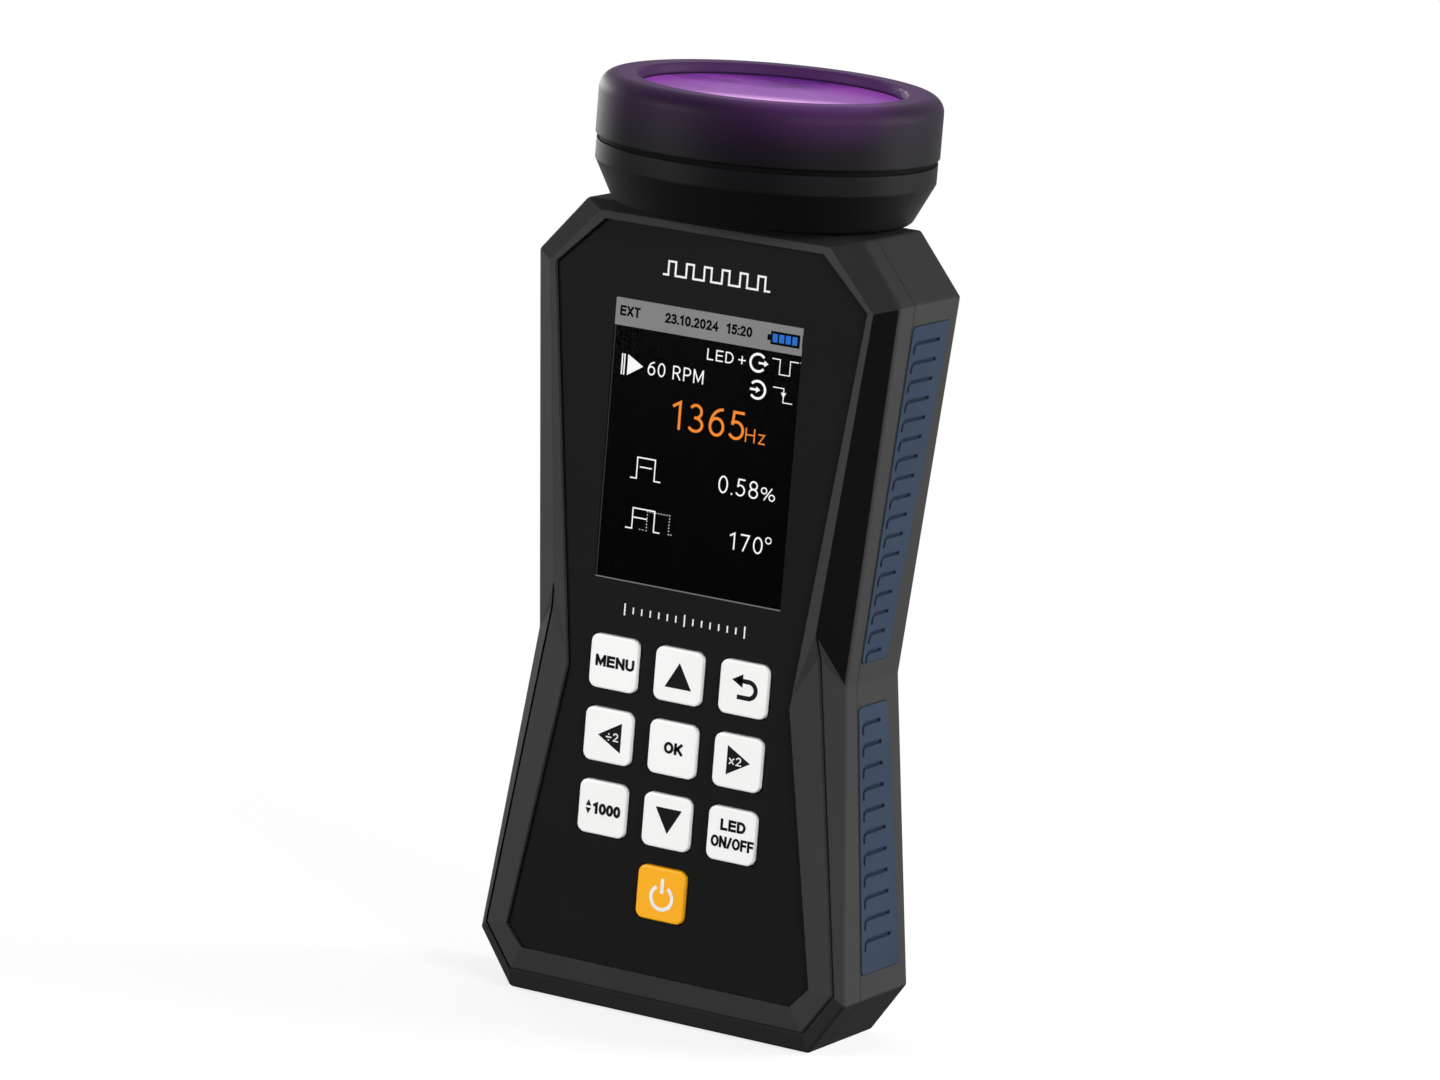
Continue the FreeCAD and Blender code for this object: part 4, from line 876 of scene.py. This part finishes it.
WINDOW = Glass("display_window", "f2f4f6")
# the third colour is the painted highlight along the front edge
LENS = LampGlow("lamp_lens", "441a5e", "7e3a92", "ffc2ff")
LIGHT = LampGlow("lamp_chips", "7a3aa8", "a860d0", "d9b0f0", strength=2.0)
BOARD = CircuitBoard("board_green", "17452c", "2e6b43")
LIGHT_BOARD = CircuitBoard("board_white", "d5d6d2", "b9bab4")
BLACK_INK = Ink("legend_black", "0d0d0d", "141414")
WHITE_INK = Ink("legend_white", "f3f3f3", "e4e4e4")
DARK_PIXELS = Pixels("display_dark", BLACK, strength=0.0)
BAR_PIXELS = Pixels("display_grey", "8d8d8d")
WHITE_PIXELS = Pixels("display_white", WHITE, strength=1.15)
ORANGE_PIXELS = Pixels("display_orange", "ff9036", strength=1.1)
BLUE_PIXELS = Pixels("display_blue", "2f78d6")
LINE_PIXELS = Pixels("display_line", "7c7c7c")
FAINT_PIXELS = Pixels("display_faint", "343434")


@dataclass
class Assembly:
    """A sub-assembly: the frame's CAD nodes, and each finish with the names of those that wear it."""

    nodes: dict[str, bpy.types.Object]
    finishes: tuple[tuple[Finish | str, ...], ...] = ()

    def dress(self) -> None:
        """Gives each CAD node its finish."""
        for finish, *names in self.finishes:
            for name in names:
                for slot in self.nodes[name].material_slots:
                    slot.material = finish.material()
                log.info("dressed %s in %s", name, finish.name)

    def build(self) -> None:
        """Makes the sub-assembly's own pieces, where it has any."""

    def mark(
        self, name: str, finish: Finish, face: Face, outlines: list[Outline], body: str = "case"
    ) -> None:
        """Adds flat shapes as one piece.

        Args:
            name: The piece's name.
            finish: Its finish.
            face: The face that it lies on.
            outlines: The shapes' outlines.
            body: The CAD body that carries it.
        """
        mesh = face.solid(name, outlines)
        mesh.materials.append(finish.material())
        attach(put(name, mesh), body)
        log.info("made %s on %s", name, body)


@dataclass
class Housing(Assembly):
    """The two shells, the battery cover, the screws, the tripod bush and the neck's seal."""

    finishes: tuple = (
        (SHELL, "front_shell", "rear_shell", "battery_cover"),
        (STEEL, "case_screws", "cover_screws", "board_screws", "neck_screws", "led_board_screws"),
        (BRASS, "tripod_bush"),
        (SEAL, "neck_seal"),
    )


@dataclass
class Grips(Assembly):
    """Soft side grips."""

    finishes: tuple = ((GRIP, "grip_upper_left", "grip_upper_right", "grip_lower_left", "grip_lower_right"),)


@dataclass
class LampHead(Assembly):
    """Neck, cup, ring, seals and lens of the lamp, with its light engine."""

    finishes: tuple = (
        (HEAD, "lamp_housing", "bezel_ring", "lamp_neck"),
        (SEAL, "housing_seal"),
        (GASKET, "lens_gasket"),
        (LENS, "lamp_lens"),
        (LIGHT, "uv_leds"),
        (MIRROR, "reflector"),
        (SINK, "heat_sink"),
        (LIGHT_BOARD, "led_board"),
    )


@dataclass
class FacePlate(Assembly):
    """The thin front plate with a printed pulse train and a ruled scale.

    Train and scale give the left end, the right end and the height. A pulse rises and falls at two shares
    of the pitch. Half sizes of a tick are its width, its height if long, and its height if short.
    """

    finishes: tuple = ((PLATE, "face_plate"),)
    face: Face = Face(-18.5)
    train: Place = (-11.4, 13.4, 153.4)
    pulses: int = 6
    turns: Point = (0.3, 0.7)
    tall: float = 2.8
    line: float = 0.42
    scale: Place = (-14.0, 14.0, 83.9)
    gaps: int = 14
    gaps_to_long: int = 7
    halves: Place = (0.16, 1.25, 0.7)

    def build(self) -> None:
        """Prints the pulse train and the scale."""
        left, right, low = self.train
        points = [(left, low)]
        pitch = (right - left) / self.pulses
        for i in range(self.pulses):
            rise, fall = (left + i * pitch + pitch * turn for turn in self.turns)
            points += [(rise, low), (rise, low + self.tall), (fall, low + self.tall), (fall, low)]
        points.append((right, low))
        self.mark("mark_pulse_train", WHITE_INK, self.face, [stroke(points, self.line)])
        left, right, middle = self.scale
        wide, long, short = self.halves
        ticks = []
        for i in range(self.gaps + 1):
            at = left + (right - left) * i / self.gaps
            half = short if i % self.gaps_to_long else long
            ticks.append(block(at - wide, at + wide, middle - half, middle + half))
        self.mark("mark_scale", WHITE_INK, self.face, ticks)


@dataclass
class Display(Assembly):
    """Window, panel and the picture on it, which shines through the window.

    Shapes lie on a layer before the dark ground, words over them, and the battery's bars upper. The edges
    are the widths of the lines at the foot and the side. The status bar's row is the words' foot, top and
    line, and a dotted line's dot its pitch and half its width.
    """

    finishes: tuple = (
        (WINDOW, "display_window"),
        (PANEL, "lcd_panel"),
        (BACKLIGHT, "lcd_backlight"),
        (INNER, "lcd_frame"),
    )
    half: float = 21.6
    foot: float = 89.6
    bar: float = 141.55
    top: float = 147.2
    ground: Face = Face(-17.72, 0.01, 0.0)
    layer: Face = Face(-17.75, 0.01, 0.0)
    over: Face = Face(-17.78, 0.01, 0.0)
    upper: Face = Face(-17.81, 0.01, 0.0)
    thin: float = 0.2
    line: float = 0.26
    bold: float = 0.5
    shaft: float = 0.45
    edges: Point = (0.16, 0.14)
    row: Place = (143.55, 145.65, 0.46)
    dot: Point = (0.62, 0.1)

    def build(self) -> None:
        """Draws the ground, the status bar, the trigger signs and the readings."""
        self.borders()
        self.status()
        self.signs()
        self.readings()

    def draw(self, name: str, *outlines: Outline) -> None:
        """Adds white shapes to the picture."""
        self.mark("screen_" + name, WHITE_PIXELS, self.layer, list(outlines))

    def write(self, name: str, text: str, box: Box, weight: float, finish: Finish = WHITE_PIXELS) -> None:
        """Adds words that fill a box of left, right, foot and top."""
        self.mark("screen_" + name, finish, self.over, Pen.write(text, box, weight))

    def borders(self) -> None:
        """Lays the dark ground, the bar and the thin lines at two edges."""
        left, right, foot = -self.half, self.half, self.foot
        level, upright = self.edges
        self.mark("screen_ground", DARK_PIXELS, self.ground, [block(left, right, foot, self.top)])
        self.mark("screen_status_bar", BAR_PIXELS, self.layer, [block(left, right, self.bar, self.top)])
        self.mark("screen_foot_line", LINE_PIXELS, self.layer, [block(left, right, foot, foot + level)])
        self.mark("screen_side_line", FAINT_PIXELS, self.layer, [block(left, left + upright, foot, self.bar)])

    def status(self) -> None:
        """Fills the status bar with its words and the battery sign."""
        *heights, line = self.row
        self.write("mode_word", "EXT", (-20.8, -16.1, *heights), line, DARK_PIXELS)
        self.write("date", "23.10.2024", (-10.3, 2.1, *heights), line, DARK_PIXELS)
        self.write("clock", "15:20", (3.9, 9.9, *heights), line, DARK_PIXELS)
        cell = [block(14.15, 20.85, 142.95, 145.65), block(13.4, 14.15, 143.7, 144.9)]
        self.mark("screen_battery_case", DARK_PIXELS, self.over, cell)
        bars = [block(14.6 + i * 1.5, 15.75 + i * 1.5, 143.45, 145.15) for i in range(4)]
        self.mark("screen_battery_bars", BLUE_PIXELS, self.upper, bars)

    def signs(self) -> None:
        """Draws the signs for the lamp, its trigger output and its trigger input."""
        line, thin, bold, shaft = self.line, self.thin, self.bold, self.shaft
        self.write("lamp_word", "LED", (0.0, 6.1, 137.6, 139.9), 0.27)
        plus = [stroke([(7.2, 138.7), (8.9, 138.7)], line), stroke([(8.05, 137.85), (8.05, 139.55)], line)]
        self.draw("plus", *plus)
        ring = stroke(arc(11.75, 138.75, 1.75, 40, 320), bold)
        tip = [(13.2, 139.4), (14.15, 138.75), (13.2, 138.1)]
        self.draw("output_sign", ring, stroke([(11.9, 138.75), (13.4, 138.75)], shaft), tip)
        drop = [(14.9, 140.15), (16.75, 140.15), (16.75, 137.15), (19.1, 137.15), (19.1, 140.1), (21, 140.1)]
        self.draw("low_pulse", stroke(drop, thin))
        run = [(-18.15, 131.6), (-14.5, 133.85), (-18.15, 135.9)]
        bars = [block(left, left + 0.3, 131.6, 135.9) for left in (-19.6, -19.05)]
        self.draw("run_sign", *bars, run)
        self.write("rate", "60 RPM", (-13.4, -0.4, 132.4, 135.25), 0.3)
        ring = stroke(arc(12.1, 133.3, 1.75, -140, 140), bold)
        tip = [(11.8, 133.95), (12.75, 133.3), (11.8, 132.65)]
        self.draw("input_sign", ring, stroke([(10.4, 133.3), (12.0, 133.3)], shaft), tip)
        step = [(15.6, 134.45), (18.1, 134.45), (18.1, 131.6), (20.2, 131.6)]
        self.draw("falling_edge", stroke(step, thin), [(17.5, 133.6), (18.7, 133.6), (18.1, 132.5)])

    def readings(self) -> None:
        """Writes the readings with their units, and draws the signs beside them."""
        line = self.line
        self.write("frequency", "1365", (-6.9, 9.85, 122.4, 128.3), 0.58, ORANGE_PIXELS)
        self.write("frequency_unit", "Hz", (10.2, 14.8, 122.4, 125.3), 0.27, ORANGE_PIXELS)
        pulse = self.pulse((-15.5, -14.05, -9.9, -8.4), 111.0, 115.35)
        self.draw("pulse_sign", pulse, stroke([(-13.4, 113.45), (-10.6, 113.45)], line))
        self.write("duty", "0.58", (5.0, 14.2, 111.2, 114.8), 0.33)
        self.write("duty_unit", "%", (14.8, 18.15, 111.3, 113.95), 0.25)
        pulse = self.pulse((-15.75, -14.2, -9.1, -7.65), 100.65, 104.9)
        self.draw("phase_sign", pulse, stroke([(-14.0, 103.0), (-10.8, 103.0)], line))
        late = [(-12.3, 100.7), (-10.8, 100.7), (-10.8, 104.6), (-5.6, 104.6), (-5.6, 100.75), (-4.4, 100.75)]
        self.draw("phase_dots", *self.dotted(late))
        self.write("phase", "170", (8.6, 16.25, 100.2, 103.7), 0.33)
        self.draw("degree_sign", stroke(arc(17.45, 103.3, 0.62, 5, 355, 20), 0.24))

    def pulse(self, across: Box, low: float, high: float) -> Outline:
        """Outline of one pulse between two heights, which starts, rises, falls and ends across."""
        spots = zip((0, 1, 1, 2, 2, 3), (low, low, high, high, low, low))
        return stroke([(across[i], height) for i, height in spots], self.line)

    def dotted(self, points: Outline) -> list[Outline]:
        """Small squares along a line.

        Args:
            points: The line's points.

        Returns:
            The squares' outlines.
        """
        pitch, half = self.dot
        squares = []
        for start, end in zip(points, points[1:]):
            count = max(1, round((Vector(end) - Vector(start)).length / pitch))
            for i in range(count):
                x, z = Vector(start).lerp(Vector(end), i / count)
                squares.append(block(x - half, x + half, z - half, z + half))
        return squares


@dataclass
class Keypad(Assembly):
    """Ten keys with their printed legends, of which the words lie over the shapes."""

    finishes: tuple = (
        (KEY, "key_mode", "key_up", "key_back", "key_halve", "key_set"),
        (KEY, "key_double", "key_step", "key_down", "key_lamp"),
        (POWER_KEY, "key_power"),
    )
    face: Face = Face(-19.3, 0.03, 0.02)
    over: Face = Face(-19.33, 0.03, 0.0)
    bold: float = 0.6
    fine: float = 0.28

    def sign(self, key: str, name: str, *outlines: Outline, ink: Finish = BLACK_INK) -> None:
        """Prints shapes on a key."""
        self.mark("legend_" + name, ink, self.face, list(outlines), "key_" + key)

    def word(self, key: str, name: str, text: str, box: Box, weight: float, ink: Finish = BLACK_INK) -> None:
        """Prints a word that fills a box of left, right, foot and top of a key."""
        self.mark("legend_" + name, ink, self.over, Pen.write(text, box, weight), "key_" + key)

    def build(self) -> None:
        """Prints every legend on its key."""
        bold, fine = self.bold, self.fine
        self.word("mode", "menu", "MENU", (-19.4, -10.3, 71.5, 73.9), bold)
        self.sign("up", "up", [(-2.9, 69.95), (3.3, 69.95), (0.2, 75.3)])
        turn = [(13.9, 74.2), (16.4, 74.2)] + arc(16.4, 72.5, 1.7, 80, -80, 16) + [(16.4, 70.8), (13.9, 70.8)]
        self.sign("back", "return", stroke(turn, 0.95), [(12.5, 74.2), (15.0, 72.8), (15.0, 75.6)])
        self.sign("halve", "left", [(-17.5, 57.35), (-12.05, 54.25), (-12.05, 60.5)])
        self.word("halve", "halve", "÷2", (-15.6, -12.65, 56.45, 58.25), fine, WHITE_INK)
        self.word("set", "ok", "OK", (-1.9, 2.5, 56.3, 58.75), bold)
        self.sign("double", "right", [(12.8, 54.5), (18.2, 57.55), (12.8, 60.6)])
        self.word("double", "double", "×2", (13.3, 16.2, 56.65, 58.45), fine, WHITE_INK)
        self.word("step", "thousand", "1000", (-17.3, -10.8, 40.8, 43.2), bold)
        up = [(-19.05, 42.25), (-17.75, 42.25), (-18.4, 43.55)]
        down = [(-19.05, 41.8), (-18.4, 40.5), (-17.75, 41.8)]
        self.sign("step", "step_arrows", up, down)
        self.sign("down", "down", [(-2.7, 45.0), (0.35, 39.7), (3.45, 45.0)])
        self.word("lamp", "lamp", "LED", (12.6, 18.45, 42.95, 45.35), 0.58)
        self.word("lamp", "on_off", "ON/OFF", (10.65, 20.6, 39.35, 41.75), 0.52)
        ring = stroke(arc(0.3, 26.3, 2.45, 58, -238, 40), 0.74)
        self.sign("power", "power", ring, block(-0.07, 0.67, 27.2, 30.3), ink=WHITE_INK)


@dataclass
class Internals(Assembly):
    """What the closed case hides: boards, switches, battery, driver and sockets."""

    finishes: tuple = (
        (BOARD, "main_board", "driver_board"),
        (CHIP, "board_chips", "board_link", "tact_switches"),
        (COIL, "driver_parts"),
        (NICKEL, "battery_contacts", "lamp_pins", "usb_socket"),
        (BATTERY, "battery_pack"),
        (SOCKET, "trigger_in_jack", "trigger_out_jack"),
    )


@dataclass(frozen=True)
class Softbox:
    """One soft lamp at a turn to the right, a rise and a reach from the height aim, which it faces.

    Angles are in degrees, lengths in metres, and its power is in watts.
    """

    name: str
    turn: float
    rise: float
    reach: float
    size: Point
    power: float
    aim: float = 0.1

    def build(self) -> None:
        """Adds the lamp."""
        data = bpy.data.lights.new(self.name, "AREA")
        data.shape = "RECTANGLE"
        data.size, data.size_y = self.size
        data.energy = self.power
        turn, rise = math.radians(self.turn), math.radians(self.rise)
        way = Vector((math.sin(turn) * math.cos(rise), -math.cos(turn) * math.cos(rise), math.sin(rise)))
        made = put(self.name, data)
        made.location = Vector((0.0, 0.0, self.aim)) + way * self.reach
        made.rotation_euler = (-way).to_track_quat("-Z", "Y").to_euler()


@dataclass
class Studio:
    """Camera at the photograph's angle, pale floor and soft lamps.

    The camera's turns are in degrees. It looks past aim, the middle of the display, which lies at offset
    from its lens. From near on, lengths are in metres or shares of a direction. The world is dim, but for
    a pale screen behind the object, which only gloss sees, and which leans by skew and rises from start
    over a run. The floor has a speckled paint with a lift of light, is plain to the light that it throws
    back, and fades to white.
    """

    roll: float = 4.70
    pitch: float = 11.04
    yaw: float = 28.8
    aim: Place = (0.0, -18.5, 118.4)
    offset: Place = (-4.42, -17.39, 1450.0)
    focal: float = 180.2
    sensor: float = 36.0
    near: float = 0.05
    lamps: tuple[Softbox, ...] = (
        Softbox("key_softbox", -38.0, 11.0, 1.15, (0.5, 0.4), 12.0),
        Softbox("fill_softbox", 62.0, 18.0, 1.2, (0.5, 0.5), 10.0),
        Softbox("side_softbox", 122.0, 14.0, 1.05, (0.45, 0.6), 11.5),
        Softbox("back_softbox", -122.0, 6.0, 1.15, (0.5, 0.3), 6.5),
        Softbox("top_softbox", 170.0, 70.0, 1.2, (0.8, 0.8), 2.5),
    )
    dim: float = 0.05
    pale: float = 0.72
    skew: float = 0.55
    start: float = -0.1
    sky_run: float = 0.45
    floor_run: float = 0.3
    radius: float = 6.0
    height: float = -0.0004
    fade: Point = (0.1, 0.5)
    speckle: float = 700.0
    paint: Point = (0.27, 0.29)
    lift: float = 0.76
    plain: Linear = (0.03, 0.03, 0.03, 1.0)

    def build(self) -> None:
        """Builds the camera, the lamps, the world and the floor."""
        self.camera()
        for lamp in self.lamps:
            lamp.build()
        self.world()
        self.floor()

    def camera(self) -> None:
        """Puts the camera where the photograph was taken from."""
        turn = (
            Matrix.Rotation(math.radians(self.roll), 3, "Z")
            @ Matrix.Rotation(math.radians(self.pitch), 3, "X")
            @ Matrix.Rotation(math.radians(self.yaw), 3, "Y")
            @ Matrix(((1, 0, 0), (0, 0, -1), (0, 1, 0)))
        )
        centre = turn.transposed() @ -(Vector(self.offset) * MM) + Vector(self.aim) * MM
        data = bpy.data.cameras.new("photo_camera")
        data.lens = self.focal
        data.sensor_width = self.sensor
        data.clip_start = self.near
        made = put("photo_camera", data)
        axes = Matrix((turn[0], -turn[1], -turn[2])).transposed()
        made.matrix_world = Matrix.Translation(centre) @ axes.to_4x4()
        bpy.context.scene.camera = made

    @staticmethod
    def seen(graph: Graph) -> Socket:
        """One where a ray comes from the camera or through glass, nought for light and gloss on surfaces."""
        path = graph.add("LightPath").outputs
        return graph.maths("MAXIMUM", path["Is Camera Ray"], path["Is Transmission Ray"])

    def screen(self, graph: Graph, parts: Outputs, run: float) -> Socket:
        """Share of the screen behind the object, rising over a run, at a place's or direction's parts."""
        away = graph.maths("SUBTRACT", parts[1], graph.maths("MULTIPLY", parts[0], self.skew))
        return graph.spread(away, self.start, self.start + run)

    @staticmethod
    def glossy(graph: Graph, light: Socket) -> Socket:
        """A light that only gloss on surfaces sees."""
        return graph.maths("MULTIPLY", graph.add("LightPath").outputs["Is Glossy Ray"], light)

    def world(self) -> None:
        """White to the eye, pale behind the object in its gloss, and dim elsewhere."""
        made = bpy.data.worlds.new("studio")
        made.use_nodes = True
        graph = Graph(made.node_tree)
        parts = graph.parts(graph.add("TexCoord").outputs["Generated"])
        screen = graph.between(self.screen(graph, parts, self.sky_run), self.dim, self.pale)
        light = graph.maths("MAXIMUM", self.seen(graph), self.glossy(graph, screen))
        light = graph.maths("MAXIMUM", light, self.dim)
        ground = graph.first("Background", {"Color": WHITE, "Strength": light})
        graph.add("OutputWorld", {"Surface": ground})
        bpy.context.scene.world = made

    def floor(self) -> None:
        """Lays a pale floor that keeps the object's shadow and is white further out."""
        made = bmesh.new()
        bmesh.ops.create_circle(made, cap_ends=True, segments=96, radius=self.radius)
        for vertex in made.verts:
            vertex.co.z = self.height
        mesh = bpy.data.meshes.new("studio_floor")
        made.to_mesh(mesh)
        made.free()
        mesh.materials.append(self.paving())
        put("studio_floor", mesh)

    def paving(self) -> bpy.types.Material:
        """Builds the floor's material: one look for the eye, and another for light and gloss.

        Returns:
            The material.
        """
        made = bpy.data.materials.new("studio_floor")
        made.use_nodes = True
        graph = Graph(made.node_tree)
        parts = graph.parts(graph.place())
        speckle = graph.spread(graph.noise(self.speckle, 3.0), *MOST, *self.paint)
        paint = graph.first("CombineXYZ", dict.fromkeys(range(3), speckle))
        matt = graph.first("BsdfDiffuse", {"Color": paint})
        lift = graph.first("Emission", {"Strength": self.lift})
        near = graph.first("AddShader", {0: matt, 1: lift})
        white = graph.first("Emission", {"Strength": 1.0})
        far = graph.spread(graph.length(parts[0], parts[1]), *self.fade)
        shown = graph.first("MixShader", {0: far, 1: near, 2: white})
        plain = graph.first("BsdfDiffuse", {"Color": self.plain})
        gloss = self.glossy(graph, self.screen(graph, parts, self.floor_run))
        screen = graph.first("Emission", {"Strength": graph.maths("MULTIPLY", gloss, self.pale)})
        hidden = graph.first("AddShader", {0: plain, 1: screen})
        whole = graph.first("MixShader", {0: self.seen(graph), 1: hidden, 2: shown})
        graph.add("OutputMaterial", {"Surface": whole})
        return made


def main() -> None:
    """Dresses the frame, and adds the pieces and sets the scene."""
    logging.basicConfig(level=logging.INFO, format="%(name)s: %(message)s")
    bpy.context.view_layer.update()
    bpy.context.scene.view_settings.view_transform = "Standard"
    for kind in (Housing, Grips, LampHead, FacePlate, Display, Keypad, Internals):
        assembly = kind(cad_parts)
        assembly.dress()
        assembly.build()
    Studio().build()


if __name__ == "__main__":
    main()
